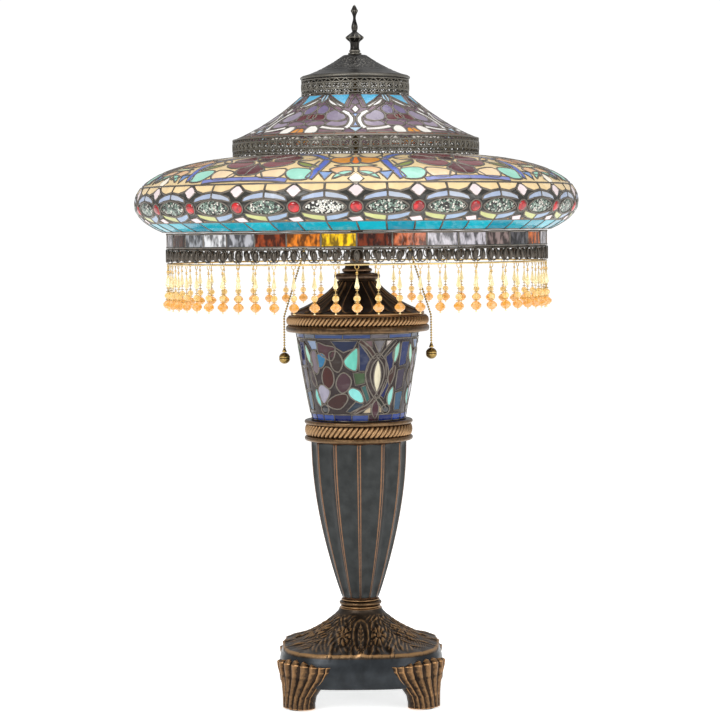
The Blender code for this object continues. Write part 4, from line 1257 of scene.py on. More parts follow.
@dataclass
class ConeGlass:
    """Upper cone: six repeats of sky blue, plum, mauve and white panes."""

    body: str = "shade"
    sag: float = 0.0045
    drop: float = 0.0490

    def surface(self) -> TurnedSurface:
        """The cone's outer face."""
        top = box_heights("filigree_band_upper")[0] - 0.0003
        start, end = box_radius("filigree_band_upper"), box_radius("cone_glass")
        profile = []
        for i in range(13):
            share = i / 12
            fall = self.drop * share + self.sag * 4 * share * (1 - share)
            profile.append((start + (end - start) * share, top - fall))
        return TurnedSurface(profile)

    def pattern(self) -> GlassPattern:
        """One sixth of the cone, centred on the front."""
        made = GlassPattern(self.surface())
        ground = [(-30, 0), (30, 0), (30, 1), (-30, 1)]
        made.panes.append(Pane(ground, "#6d5266", 0))
        made.line([(-30, 0.012), (30, 0.012)], both=False)
        made.line([(-30, 0.93), (30, 0.93)], both=False)
        made.line([(-30, 0.985), (30, 0.985)], both=False)
        made.pane([(5, 0.015), (26, 0.015), (17, 0.13), (8, 0.24)], "#58b4dc")
        made.pane([(27, 0.015), (30, 0.015), (30, 0.20), (26, 0.10)], "#a8c8dc")
        made.leaf((27, 0.06), (8, 0.28), 6.5, "#f1efec", -2.5, 2)
        made.ribbon([(1.2, 0.02), (5, 0.13), (7, 0.29)], 5.0, "#5a3a4e", 2)
        made.ribbon([(26, 0.13), (17, 0.24), (9.5, 0.37)], 6.0, "#6a4458", 1)
        made.disc((0, 0.33), 4.4, 7.5, "#f6f2ef", 2, False, 4)
        made.pane([(-4.5, 0.20), (0, 0.06), (4.5, 0.20), (0, 0.24)], "#57405a", 1, False)
        crescent = [(9.6, 0.37), (5.0, 0.43), (2.6, 0.50), (2.2, 0.60), (3.3, 0.72), (5.4, 0.80)]
        made.ribbon(crescent, 6.5, "#f4f1ee", 2)
        made.shaped([(8.0, 0.42), (15, 0.34), (20, 0.42), (18, 0.56), (11, 0.60), (6, 0.53)], "#8d8196")
        made.shaped([(4.6, 0.58), (10, 0.62), (15, 0.60), (17, 0.70), (10, 0.75), (5.5, 0.70)], "#97889c")
        made.shaped([(20, 0.30), (26, 0.22), (29.5, 0.30), (27, 0.42), (21.5, 0.42)], "#75688a")
        made.shaped([(21, 0.45), (27, 0.43), (29, 0.48), (26, 0.58), (20, 0.57)], "#5c2028")
        made.shaped([(19, 0.60), (26, 0.60), (29.5, 0.66), (26, 0.72), (18, 0.70)], "#7a6074")
        made.pane([(-3.6, 0.43), (3.6, 0.43), (0.8, 0.53), (0.8, 0.62), (2.6, 0.74), (-2.6, 0.74),
                   (-0.8, 0.62), (-0.8, 0.53)], "#8fa6d8", 1, False)
        made.disc((30, 0.49), 5.5, 5.5, "#7c2222", 3, True, 14)
        made.ribbon([(19, 0.75), (12, 0.81), (5.5, 0.83)], 6.5, "#f2ede8", 2)
        made.pane([(-3.6, 0.78), (3.6, 0.78), (0, 0.91)], "#bcd8ee", 2, False)
        made.shaped([(20, 0.92), (19.5, 0.80), (23, 0.71), (26, 0.76), (25.5, 0.92)], "#f3eee6", 2)
        made.pane([(26, 0.91), (27.5, 0.80), (30, 0.78), (30, 0.92)], "#d98a20", 2)
        made.pane([(6, 0.86), (14, 0.84), (19, 0.80), (19, 0.91), (6, 0.91)], "#7d5b66", 1)
        for left in range(-30, 30, 10):
            strip = [(left, 0.935), (left + 10, 0.935), (left + 10, 0.98), (left, 0.98)]
            made.pane(strip, "#c06a30" if left % 20 else "#a8502c", 1, False)
        return made

    def build(self) -> None:
        """Makes the cone."""
        skin = LeadedSkin("cone_panes", self.body, 6, 0.0015)
        skin.make(self.pattern(), OPAL, ("cone_glass",))


@dataclass
class DomeGlass:
    """Dome of the shade: flower panes, medallion band and turquoise row."""

    body: str = "shade"
    shoulder_centre: float = 0.100
    lip_centre: float = 0.150
    shoulder_height: float = 0.0545
    lip_height: float = 0.0445
    widest: float = field(init=False)
    reach: float = field(init=False)

    def __post_init__(self) -> None:
        """Takes the dome's widest ring from the frame."""
        self.reach = box_radius("medallion_glass")
        self.widest = box_heights("medallion_glass")[1] - 0.0193

    def dome(self, start_radius: float, floor: float) -> TurnedSurface:
        """The dome's outer face between a radius on its shoulder and a height."""
        halves = (self.reach - self.shoulder_centre, self.shoulder_height)
        line = arc((self.shoulder_centre, self.widest), halves, 2.2, 89, 0, 60)
        line = [p for p in line if p[0] >= start_radius]
        lip_halves = (self.reach - self.lip_centre, self.lip_height)
        lip = arc((self.lip_centre, self.widest), lip_halves, 2, 0, -80, 60)
        line += lip[1:]
        return TurnedSurface([p for p in line if p[1] >= floor])

    def flower_pattern(self, surface: TurnedSurface, end: float) -> GlassPattern:
        """One sixth of the flower field, with the front stem in its middle.

        Args:
            surface: The dome.
            end: Share of the depth at the came that ends the flower field.

        Returns:
            The pattern.
        """
        made = GlassPattern(surface)

        def on(angle: float, radius_mm: float) -> Flat:
            """A point at an angle and a distance from the axis in millimetres."""
            return angle, min(end * 0.995, surface.share_at_radius(radius_mm * MM))

        def off(across: float, radius_mm: float) -> Flat:
            """A point at millimetres across and a distance from the axis."""
            return on(math.degrees(across / radius_mm), radius_mm)

        made.panes.append(Pane([(-30, 0), (30, 0), (30, end), (-30, end)], "#ecd09a", 0))
        made.line([(-30, 0.01), (30, 0.01)], both=False)
        made.line([(-30, end), (30, end)], both=False)
        # Wings and petals round the jewel.
        made.shaped([off(4, 158), off(15, 150), off(27, 156), off(28, 172), off(18, 188), off(7, 178)],
                    "#f6dfb0")
        made.shaped([off(3, 184), off(10, 186), off(22, 188), off(27, 200), off(16, 212), off(5, 208)],
                    "#d98f2a")
        made.leaf(off(0, 150), off(0, 168), 7, "#f0b560", 0, 1, False)
        made.shaped([off(0, 184), off(5, 196), off(3, 212), off(-3, 212), off(-5, 196)], "#ea7a26", 2, False)
        made.leaf(off(-22, 218), off(22, 218), 6.5, "#e6ecb4", 0, 2, False)
        made.shaped([off(3, 224), off(14, 221), off(27, 227), off(20, 236), off(7, 238)], "#eab986")
        made.leaf(off(25, 243), off(2, 232), 6.5, "#8fd4bc", 3, 2)
        made.disc(on(0, 243), 8.0, 9.5, "#fdf3df", 3, False, 4)
        made.pane([off(24, 233), off(40, 231), off(33, 244)], "#6f92c8", 1)
        # Ribbons that lead from the stem to the next flower.
        made.ribbon([off(30, 199), off(34, 214), off(41, 229), off(50, 242)], 8.0, "#4a63c0", 2)
        made.ribbon([on(9, 195), on(11.5, 180), on(16, 164), on(25, 149)], 7.5, "#5a74c8", 2)
        made.leaf(on(10, 222), on(17.5, 204), 9, "#7e8a36", 2, 1)
        made.shaped([on(12.5, 226), on(17, 224), on(18.5, 233), on(16.5, 243), on(12.4, 243), on(11.4, 234)],
                    "#9fdcc8", 2)
        made.shaped([on(19.5, 224), on(25, 228), on(26.5, 238), on(21, 242), on(18.8, 234)], "#f6d9b0")
        # The big flower between two stems.
        heart = on(30, 194)
        petals = (
            ([on(29.9, 150), on(24.5, 156), on(22.5, 168), on(25.5, 182), on(29.9, 186)], "#6e2531"),
            ([on(21.6, 172), on(18.0, 184), on(18.6, 197), on(23.5, 201), on(26.5, 193), on(24.8, 184)],
             "#621d28"),
            ([on(18.8, 202), on(19.8, 214), on(24.5, 221), on(28.0, 212), on(27.2, 201), on(23.8, 203)],
             "#7c3038"),
            ([on(29.9, 205), on(28.2, 216), on(25.6, 225), on(27.4, 234), on(29.9, 236)], "#5a1a24"),
        )
        for outline, tint in petals:
            made.pane(curved(outline, 3) if outline[-1][0] > 29 else curved(outline, 3, True), tint, 2)
        made.disc(heart, 8, 7, "#4a1a20", 4, True, 14)
        made.ribbon([on(17.5, 244.5), on(22, 242.5), on(30, 241.5)], 6.0, "#8088c4", 3)
        made.leaf(on(15.0, 150), on(20.5, 171), 10, "#f7e2bb", -2)
        made.leaf(on(12.2, 185), on(17.5, 200), 8, "#f0c987", 2)
        # Came that breaks up the ground.
        made.line([off(6, 142), off(6, 152)])
        made.line([off(30, 142), off(26, 152)])
        made.line([on(20, 142), on(17, 152)])
        made.line([off(28, 180), on(10, 190)])
        made.line([on(26.5, 226), on(24, 242)])
        made.line([on(11, 202), on(12.5, 226)])
        made.line([(30, 0.0), on(30, 150)], both=False)
        return made

    def medallion_pattern(self, surface: TurnedSurface, start: float, end: float) -> GlassPattern:
        """One repeat of the band of oval medallions, with the jewel in its middle.

        Args:
            surface: The dome.
            start: Share of the depth at which the band starts.
            end: Share at which it ends.

        Returns:
            The pattern, 15 degrees wide.
        """
        made = GlassPattern(surface)

        def at(angle: float, height: float) -> Flat:
            """A point at an angle and a height in millimetres."""
            return angle, surface.share_at_height(height * MM)

        made.panes.append(Pane([(-7.5, start), (7.5, start), (7.5, end), (-7.5, end)], "#3a3936", 0))
        made.line([(-7.5, start), (7.5, start)], both=False)
        made.line([(-7.5, end), (7.5, end)], both=False)
        keystone = [(0.25, start), (7.35, start), at(7.35, 583.2), at(4.6, 581.4), at(2.2, 584.0)]
        made.pane(keystone, "#f2d6a4")
        diamond = [at(0, 589.0), at(1.95, 582.5), at(0, 575.5), at(-1.95, 582.5)]
        made.pane(diamond, "#f0dfe0", 3, False)
        low_diamond = [at(-1.9, 553.4), at(-0.9, 549.4), at(1.9, 550.2), at(0.9, 554.8)]
        made.pane(low_diamond, "#eedadd", 3, False)
        upper = [
            at(1.7, 571.4), at(2.1, 576.2), at(4.6, 580.0), at(7.35, 581.8), at(7.35, 575.0), at(4.2, 573.2),
        ]
        lower = [
            at(1.7, 559.4), at(2.1, 554.8), at(4.6, 551.4), at(7.35, 550.2), at(7.35, 555.6), at(4.2, 557.2),
        ]
        for outline, left, right in ((upper, "#a9b6cf", "#b4bccb"), (lower, "#c6c98a", "#9fb2cc")):
            made.pane(outline, left, 2, False)
            made.pane([(-angle, share) for angle, share in reversed(outline)], right, 2, False)
        made.pane([at(2.4, 551.8), at(4.6, 550.2), at(7.35, 549.2), (7.35, end), (2.0, end)], "#eba860", 1)
        return made

    def stone(self, name: str, surface: TurnedSurface, angle: float, halves: tuple[float, float, float],
              lens: float) -> tuple[bpy.types.Object, list[Vector]]:
        """One stone bedded in the surface, and the line of the came round it.

        Args:
            name: The stone's name.
            surface: The dome.
            angle: Where it sits round the lamp, in degrees.
            halves: Half sizes across, down and outwards in metres.
            lens: How pointed its two ends are, from 1 for an oval.

        Returns:
            The stone and its edge line.
        """
        share = surface.share_at_height(0.5645)
        radius = surface.radius(share)
        across, tall, proud = halves
        bedded, crown = 0.0016, 0.0007  # how deep a stone sits, and the most it stands proud
        came_gap, came_lift = 0.0006, -0.0011
        steps, levels = 28, 12

        def spot(lean: float, ring: float, lift: float) -> Vector:
            """A place on the stone by direction and share of its half sizes."""
            x = across * ring * math.cos(lean)
            y = tall * ring * math.copysign(abs(math.sin(lean)) ** lens, math.sin(lean))
            turn = angle + math.degrees(x / radius)
            return surface.place(turn, share - y / surface.length, lift)

        def point(round_turn: float, along: float) -> Vector:
            """Ring by ring from the back of the stone to its crown."""
            tilt = math.pi * along
            lift = -bedded - proud * math.cos(tilt)
            return spot(math.tau * round_turn, math.sin(tilt), min(lift, crown))

        made = skinned(name, point, steps, levels)
        edge = [spot(math.tau * i / steps, 1.0 + came_gap / tall, came_lift) for i in range(steps)]
        return made, edge

    def jewels(self, surface: TurnedSurface) -> None:
        """Red cabochons and pointed medallions of fused chips, bedded in the band."""
        lots = (
            ("jewel_cabochons", 0.0, (0.0066, 0.0066, 0.0026), RED_JEWEL, 1.0, range(24)),
            ("chip_medallions", 7.5, (0.0215, 0.0088, 0.0018), CHIPS, 1.35, range(23)),
            # The one medallion at the front is painted white, for light shining through it from behind.
            ("backlit_white_medallion", -7.5, (0.0215, 0.0088, 0.0018), BACKLIT_WHITE_CHIPS, 1.35, range(1)),
        )
        for name, angle, halves, finish, lens, places in lots:
            pieces, edges = [], []
            for place in places:
                piece, edge = self.stone(name, surface, angle + 15 * place, halves, lens)
                pieces.append(piece)
                edges.append((edge, True))
            stones = joined(name, pieces)
            settle(stones, finish, self.body, ())
            rims = SWEEP.run(wires(f"{name}_came", edges), f"{name}_came", CAME, Radius=0.0011, Sides=6)
            settle(rims, CAME, self.body, ())

    def build(self) -> None:
        """Makes the dome's glass, its came, jewels and turquoise row."""
        start = box_radius("filigree_band_lower")
        floor = box_heights("turquoise_glass")[0]
        surface = self.dome(start, floor)
        flower_end = surface.share_at_height(box_heights("flower_glass")[0])
        band_end = surface.share_at_height(box_heights("medallion_glass")[0])
        skin = LeadedSkin("flower_panes", self.body, 6, 0.0016)
        skin.make(self.flower_pattern(surface, flower_end), OPAL, ("flower_glass",))
        skin = LeadedSkin("medallion_panes", self.body, 24, 0.0015, grid_angle=2.5)
        pattern = self.medallion_pattern(surface, flower_end, band_end)
        skin.make(pattern, OPAL, ("medallion_glass",))
        self.jewels(surface)
        row = GlassPattern(surface, mirrored=False)
        tones = ("#0a93a6", "#088b9e", "#0e9cae", "#087f96")
        for i, tone in enumerate(tones):
            left = -15 + 7.5 * i
            tile = [(left, band_end), (left + 7.5, band_end), (left + 8.4, 1.0), (left + 0.9, 1.0)]
            row.pane(tile, tone, 1)
        skin = LeadedSkin("turquoise_panes", self.body, 12, 0.0013)
        skin.make(row, TURQUOISE, ("turquoise_glass",))


@dataclass
class AmberBand:
    """Upright band of amber ripple glass panes."""

    body: str = "shade"
    panes: int = 36
    # The front tints are partly amber glass and partly painted light: the greys and near-whites are painted
    # reflections, and the bright yellow is a painted glow of light through the band.
    front: tuple[str, ...] = (
        "#4a2a1e", "#9a9ba0", "#d9d8da", "#a9a8ae", "#8e3a12", "#d8781c", "#ffc814",
        "#6e2a10", "#c46a44", "#c3bcc2", "#bdb6bd", "#8a7672", "#5d5a5e",
    )
    # The other tints are amber glass, with one grey that is a painted reflection.
    others: tuple[str, ...] = ("#a8501a", "#d8781c", "#7a3214", "#c8621c", "#b9b2b6", "#8e3a12")

    def build(self) -> None:
        """Makes the panes one by one, each with its own tint, painted light included, and their came."""
        low, high = box_heights("amber_glass_band")
        radius = box_radius("amber_glass_band")
        surface = TurnedSurface([(radius, high), (radius, low)])
        pattern = GlassPattern(surface, mirrored=False)
        step = 360 / self.panes
        chance = random.Random(11)
        for i in range(self.panes):
            left = -70 + step * i
            tint = self.front[i] if i < len(self.front) else chance.choice(self.others)
            outline = [(left, 0.06), (left + step, 0.06), (left + step, 0.94), (left, 0.94)]
            pattern.pane(outline, tint, 1)
        skin = LeadedSkin("amber_panes", self.body, 1, 0.0013, grid_angle=2.0)
        skin.make(pattern, AMBER, ("amber_glass_band",))


@dataclass
class FringeTrim:
    """Row of small cast loops under the amber band."""

    body: str = "shade"
    loops: int = 120

    def build(self) -> None:
        """Makes the beads and a wire loop for each, repeated round the band, and one wire rail above them."""
        low, high = box_heights("fringe_trim_ring")
        radius = box_radius("fringe_trim_ring") - 0.0036
        middle = (low + high) / 2
        place = Matrix.Translation((0, -radius, middle - 0.0006))
        oval = arc((0, 0), (0.0033, 0.0056), 2.0, 90, -90, 9)
        bead = turned("trim_loops", oval, 10, place=place)
        beads = RING.run(bead, "trim_drops", PEWTER, Count=self.loops, Seed=1)
        settle(beads, TRIM, self.body, ("fringe_trim_ring",))
        lines = []
        for tilt in (-0.5, 0.5):
            loop = []
            for i in range(12):
                turn = math.tau * i / 12
                x = 0.0050 * math.cos(turn) + tilt * 0.0045
                z = 0.0070 * math.sin(turn)
                loop.append(Vector((x, -radius - 0.0022 - tilt * 0.001, middle + z)))
            lines.append((loop, True))
        loops = SWEEP.run(wires("trim_wire", lines), "trim_wire", TRIM, Radius=0.0007, Sides=5)
        loops = RING.run(loops, "trim_wirework", TRIM, Count=self.loops // 2, Seed=1)
        settle(loops, TRIM, self.body, ())
        rail = turned_ring(radius + 0.0015, high - 0.0011, 0.0010, 96)
        rail.name = "trim_rail"
        settle(rail, TRIM, self.body, ())


def turned_ring(radius: float, height: float, wire: float, steps: int) -> bpy.types.Object:
    """A plain wire ring round the lamp's axis."""
    section = arc((radius, height), (wire, wire), 2.0, 0, 315, 8)
    return turned("wire_ring", section, steps, looped=True)


@dataclass
class BeadFringe:
    """Sixty strands of wire, drops and cut beads."""

    body: str = "shade"
    strands: int = 60
    radius: float = 0.2175

    def build(self) -> None:
        """Makes one strand and repeats it round the wire that carries them."""
        low, high = box_heights("bead_fringe")
        place = Matrix.Translation((0, -self.radius, 0))
        clear, honey, amber = "#fbf0cc", "#f9deaa", "#f4c893"
        stones = (
            (0.0460, 0.0440, 0.0014, honey, 6),
            (0.0425, 0.0270, 0.0028, clear, 8),
            (0.0212, 0.0138, 0.0038, honey, 8),
            (0.0128, 0.0022, 0.0060, amber, 8),
            (0.0018, 0.0003, 0.0012, clear, 6),
        )
        pieces = []
        for top, bottom, reach, tint, sides in stones:
            half = (top - bottom) / 2
            middle = low + bottom + half
            if top - bottom > 0.012:
                profile = [
                    (0, middle + half), (reach * 0.35, middle + half * 0.5),
                    (reach * 0.8, middle - half * 0.35), (reach, middle - half * 0.65),
                    (reach * 0.55, middle - half * 0.93), (0, middle - half),
                ]
            else:
                profile = arc((0, middle), (reach, half), 1.6 if reach > 0.005 else 2.0, 90, -90, 6)
            stone = turned("stone", profile, sides, Shading.FACETED, place)
            layer = stone.data.color_attributes.new("tint", "FLOAT_COLOR", "CORNER")
            layer.data.foreach_set("color", list(linear(tint)) * len(layer.data))
            pieces.append(stone)
        strand = joined("strand", pieces)
        beads = RING.run(strand, "bead_strands", BEADS, Count=self.strands, Seed=4)
        settle(beads, BEADS, self.body, ("bead_fringe",))
        loop = []
        for i in range(10):
            turn = math.tau * i / 10
            height = high - 0.0034 + 0.0026 * math.cos(turn)
            loop.append(Vector((0.0022 * math.sin(turn), -self.radius, height)))
        stem = [Vector((0, -self.radius, low + height)) for height in (0.0485, 0.0018)]
        wire = SWEEP.run(wires("strand_wire", [(loop, True), (stem, False)]), "strand_wire", GILT,
                         Radius=0.00045, Sides=5)
        discs = []
        for height, reach in ((0.0434, 0.0017), (0.0262, 0.0020), (0.0222, 0.0024), (0.0133, 0.0030)):
            profile = arc((0, low + height), (reach, 0.0006), 2.0, 90, -90, 5)
            discs.append(turned("disc", profile, 8, place=place))
        wire = joined("strand_wire", [wire] + discs)
        wires_round = RING.run(wire, "strand_wires", GILT, Count=self.strands, Seed=4)
        settle(wires_round, GILT, self.body, ())
        ring = turned_ring(self.radius, high - 0.0011, 0.0010, 96)
        ring.name = "strand_ring"
        settle(ring, GILT, self.body, ())


FINIAL_STEPS = 60  # a multiple of ten, so that every leaf is cut alike


@dataclass
class Finial:
    """Turned finial and the washer under it."""

    body: str = "finial"

    def build(self) -> None:
        """Baluster with a round knob and a pointed tip."""
        low, high = box_heights("finial")
        tall = high - low
        knob = box_radius("finial")
        shape = (
            (0.0000, 0.50), (0.012, 0.58), (0.035, 0.60), (0.050, 0.54), (0.060, 0.49), (0.12, 0.46),
            (0.18, 0.47), (0.205, 0.50), (0.215, 0.52), (0.235, 0.62), (0.265, 0.82), (0.295, 0.97),
            (0.310, 1.0), (0.325, 0.96), (0.350, 0.80), (0.385, 0.56), (0.420, 0.34), (0.438, 0.25),
            (0.450, 0.25), (0.470, 0.30), (0.500, 0.33), (0.540, 0.34), (0.590, 0.29), (0.650, 0.20),
            (0.700, 0.145), (0.745, 0.15), (0.790, 0.21), (0.830, 0.31), (0.862, 0.39), (0.880, 0.39),
            (0.900, 0.31), (0.925, 0.26), (0.950, 0.20), (0.975, 0.13), (1.0, 0.0),
        )
        profile = [(0.0, low)] + [(r * knob, low + h * tall) for h, r in shape]

        def point(turn: float, share: float) -> Vector:
            """A place on the finial; the disc and the bud are cut with small leaves."""
            radius, height = profile[round(share * (len(profile) - 1))]
            level = (height - low) / tall
            leaves = smooth_step(0.21, 0.27, level) * (1 - smooth_step(0.36, 0.42, level))
            leaves += 0.9 * smooth_step(0.77, 0.84, level) * (1 - smooth_step(0.93, 0.97, level))
            angle = math.tau * turn
            radius *= 1.0 - 0.14 * leaves * abs(math.sin(5 * angle))
            return Vector((radius * math.sin(angle), -radius * math.cos(angle), height))

        piece = skinned("finial_turned", point, FINIAL_STEPS, len(profile) - 1)
        settle(piece, PEWTER, self.body, ("finial",))
        floor, top = box_heights("finial_washer")
        reach = box_radius("finial_washer")
        rim = arc((reach - 0.0013, (floor + top) / 2), (0.0013, (top - floor) / 2), 2.4, -90, 90, 7)
        washer = turned("finial_seat_ring", [(0.0034, floor)] + rim + [(0.0034, top)], 40, looped=True)
        settle(washer, PEWTER, self.body, ("finial_washer",))


# ---------------------------------------------------------------- stem and urn
def squarish(angle: float, half_width: float, exponent: float) -> float:
    """Distance from the axis to the edge of a rounded square, at an angle in radians."""
    cosine, sine = abs(math.cos(angle)), abs(math.sin(angle))
    return half_width / (cosine**exponent + sine**exponent) ** (1 / exponent)


def daisy(x: float, y: float, size: float) -> float:
    """Height share of an eight-petalled flower at a place from its middle."""
    far = math.hypot(x, y) / size
    if far >= 1:
        return 0.0
    if far < 0.28:
        return 0.75 + 0.25 * math.cos(far / 0.28 * math.pi / 2)
    petals = abs(math.cos(4 * math.atan2(y, x))) ** 0.6
    return petals * math.sin(math.pi * min(1.0, (far - 0.20) / 0.80)) ** 0.7


def leaf_relief(x: float, y: float, half_width: float, half_height: float, ribs: float = 0.0) -> float:
    """Height share of a pointed leaf with a raised midrib, at a place from its middle."""
    if abs(y) >= half_height:
        return 0.0
    width = half_width * math.cos(math.pi / 2 * y / half_height) ** 0.8
    if abs(x) >= width:
        return 0.0
    body = math.cos(math.pi / 2 * x / width) ** 0.5 * 0.75
    rib = 0.25 * math.exp(-((x / (half_width * 0.14)) ** 2))
    return body + rib + (0.12 * math.sin((abs(x) * 0.8 - y) * ribs) if ribs else 0.0)


@dataclass
class Base:
    """Cast base: smooth square skirt, relief cone and four shell feet."""

    body: str = "lamp"
    half_width: float = 0.0945
    squareness: float = 3.0
    wall: float = 0.005
    flutes: int = 9
    foot_reach: float = 0.100
    fan_reach: float = 0.0905

    def sole(self) -> float:
        """Height of the feet's soles, a hair above their pads."""
        return box_heights("foot_pad_1")[1] + 0.0001

    def profile(self) -> list[tuple[float, float, float]]:
        """(half width, squareness, height) from the skirt's lower edge to the seat."""
        top = box_heights("base_casting")[1]
        bottom = self.sole() + 0.0235
        shoulder = bottom + 0.034
        levels = [
            (self.half_width - self.wall, 3.0, bottom + 0.003),
            (self.half_width - self.wall, 3.0, bottom),
            (self.half_width - 0.0012, 3.0, bottom),
            (self.half_width, 3.0, bottom + 0.0014),
            (self.half_width, 3.0, bottom + 0.018),
            (self.half_width - 0.0007, 3.0, bottom + 0.024),
            (self.half_width - 0.0022, 3.0, bottom + 0.030),
            (self.half_width - 0.0042, 3.0, shoulder),
        ]
        inner = 0.0245
        reach = self.half_width - 0.0055 - inner
        rise = top - shoulder - 0.004
        for radius, height in reversed(arc((inner + reach, top), (reach, rise), 1.4, 180, 268, 42)):
            share = (radius - inner) / reach
            levels.append((radius, 2.0 + (self.squareness - 2.0) * share**2, height))
        levels.append((0.012, 2.0, top))
        return levels

    def relief(self, angle: float, radius: float, height: float) -> float:
        """How far the cast ornament stands out, in metres, on one side of the cone."""
        quarter = (math.degrees(angle) + 45) % 90 - 45
        x = math.radians(quarter) * radius / MM
        z = height / MM
        edge = 63.5 - 2.6 * abs(math.cos(math.radians(quarter) * 6)) ** 0.7
        raised = 0.0
        if z > 59.4:
            raised = 0.6 * smooth_step(edge - 1.2, edge + 0.6, z) * (1 - smooth_step(97, 101, z))
            curl = math.sin(x * 0.75 + 2.4 * math.sin(z * 0.30))
            curl *= math.cos(z * 0.55 + 1.8 * math.sin(x * 0.28))
            gadroon = abs(math.sin(math.radians(quarter) * 14 + z * 0.12))
            foliage = smooth_step(63, 67, z) * (1 - smooth_step(94, 99, z))
            clear = math.exp(-((x / 9) ** 2)) + math.exp(-((abs(x) - 21) ** 2 + (z - 78) ** 2) / 95)
            raised += 0.8 * curl * foliage * (1 - min(1.0, clear))
            raised += 0.9 * gadroon * math.exp(-(((z - 66) / 3.4) ** 2))
        for side in (-1, 1):
            raised += 2.2 * daisy(x - side * 21, (z - 78) * 1.1, 10.0)
            raised += 1.2 * leaf_relief(x - side * 36, z - 70, 5.0, 9.0, 1.6)
            raised += 0.9 * leaf_relief(x - side * 11.5, z - 68, 3.6, 7.0, 1.8)
            raised += 0.8 * leaf_relief(x - side * 12, z - 88, 3.2, 6.0, 1.8)
        frame_x, frame_z = x / 8.5, (z - 78) / 15.0
        rim = abs(math.hypot(frame_x, frame_z) - 1.0)
        raised += 1.1 * math.exp(-((rim / 0.16) ** 2))
        raised += 1.7 * leaf_relief(x, z - 78, 3.6, 11.0, 1.5)
        raised += 1.1 * daisy(x, z - 66, 4.2)
        return raised * MM

    def casting(self) -> None:
        """The skirt and the cone above it in one skin."""
        levels = self.profile()
        around = 384

        def point(turn: float, share: float) -> Vector:
            """A place on the casting, ornament included."""
            index = round(share * (len(levels) - 1))
            width, exponent, height = levels[index]
            angle = math.tau * turn
            radius = squarish(angle, width, exponent)
            if 7 < index < len(levels) - 3:
                before, after = levels[index - 1], levels[index + 1]
                run, rise = after[0] - before[0], after[2] - before[2]
                size = math.hypot(run, rise) or 1.0
                out, up = rise / size, -run / size
                lift = self.relief(angle, radius, height)
                radius += out * lift
                height += up * lift
            return Vector((radius * math.sin(angle), -radius * math.cos(angle), height))

        piece = skinned("base_cone_and_skirt", point, around, len(levels) - 1)
        settle(piece, BRONZE, self.body, ("base_casting", "base_skirt"))
        piece.data.materials.append(SKIRT_BRONZE.material())
        shoulder = levels[7][2]
        for polygon in piece.data.polygons:
            if polygon.center.z < shoulder + 0.0002:
                polygon.material_index = 1

    def foot(self, index: int) -> None:
        """One shell foot: a fan of flutes with a scalloped edge, down to a narrow sole."""
        low = self.sole()
        stations = (
            (0.000, self.foot_reach, 0.0152, 0.0205), (0.006, self.foot_reach, 0.0148, 0.0208),
            (0.014, self.foot_reach - 0.001, 0.0150, 0.0222), (0.024, self.foot_reach - 0.005, 0.0165, 0.0275),
            (0.034, self.foot_reach - 0.0085, 0.0180, 0.0345), (0.043, self.fan_reach, 0.0188, 0.0395),
            (0.049, self.fan_reach, 0.0188, 0.0405), (0.054, self.fan_reach - 0.001, 0.0165, 0.0380),
            (0.0555, self.fan_reach - 0.003, 0.0120, 0.0300),
        )
        turn_to = math.radians(45 + 90 * index)

        def station(share: float) -> tuple[float, float, float, float]:
            """Height, reach and half sizes a share of the way up."""
            place = share * (len(stations) - 1)
            first = min(len(stations) - 2, int(place))
            part = place - first
            a, b = stations[first], stations[first + 1]
            return tuple(p + (q - p) * part for p, q in zip(a, b))

        def point(turn: float, share: float) -> Vector:
            """A place on the fan; it faces outwards along the lamp's diagonal."""
            height, reach, depth, width = station(share)
            angle = math.tau * turn
            cosine, sine = math.cos(angle), math.sin(angle)
            out = math.copysign(abs(cosine) ** (2 / 2.2), cosine) * depth
            side = math.copysign(abs(sine) ** (2 / 2.2), sine) * width
            across = side / width
            front = smooth_step(-0.15, 0.35, cosine)
            lean = math.asin(max(-1, min(1, across)))
            wave = abs(math.cos(math.pi * self.flutes / 2 * lean / (math.pi / 2)))
            deep = 0.0008 + 0.0018 * smooth_step(0.0, 0.6, share)
            out -= deep * front * (1 - wave) * 1.4
            if share > 0.72:
                height -= 0.0052 * front * (1 - wave) * smooth_step(0.72, 1.0, share)
                height -= 0.010 * abs(across) ** 2.5 * smooth_step(0.72, 1.0, share)
            out += reach
            x = out * math.sin(turn_to) + side * math.cos(turn_to)
            y = -out * math.cos(turn_to) + side * math.sin(turn_to)
            return Vector((x, y, low + height))

        piece = skinned(f"shell_foot_{index + 1}", point, 168, 40)
        settle(piece, FOOT_BRONZE, self.body, (f"foot_casting_{(index + 3) % 4 + 1}",))

    def build(self) -> None:
        """Makes the casting, its feet and the fittings underneath."""
        self.casting()
        for index in range(4):
            self.foot(index)
            pad = f"foot_pad_{index + 1}"
            low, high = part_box(pad)
            middle = (low + high) / 2
            reach = (high.x - low.x) / 2
            place = Matrix.Translation((middle.x, middle.y, 0))
            profile = [(0, 0.0), (reach * 0.6, 0.0), (reach * 0.62, 0.0003), (reach * 0.75, 0.0003),
                       (reach * 0.77, 0.0), (reach - 0.0004, 0.0), (reach, 0.0004), (reach, high.z), (0, high.z)]
            sole = turned(f"sole_{index + 1}", profile, 40, place=place)
            settle(sole, RUBBER, self.body, (pad,))
        low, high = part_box("lead_inlet_bushing")
        reach = (high.x - low.x) / 2
        turn = Matrix.Translation((0, high.y, (low.z + high.z) / 2)) @ Matrix.Rotation(math.pi / 2, 4, "X")
        deep = high.y - low.y
        section = [(0.0032, 0), (reach - 0.001, 0), (reach, 0.0008), (reach, 0.0022), (0.0056, 0.0024),
                   (0.0054, deep), (0.0032, deep)]
        bushing = turned("lead_bushing", section, 36, place=turn, looped=True)
        settle(bushing, RUBBER, self.body, ("lead_inlet_bushing",))


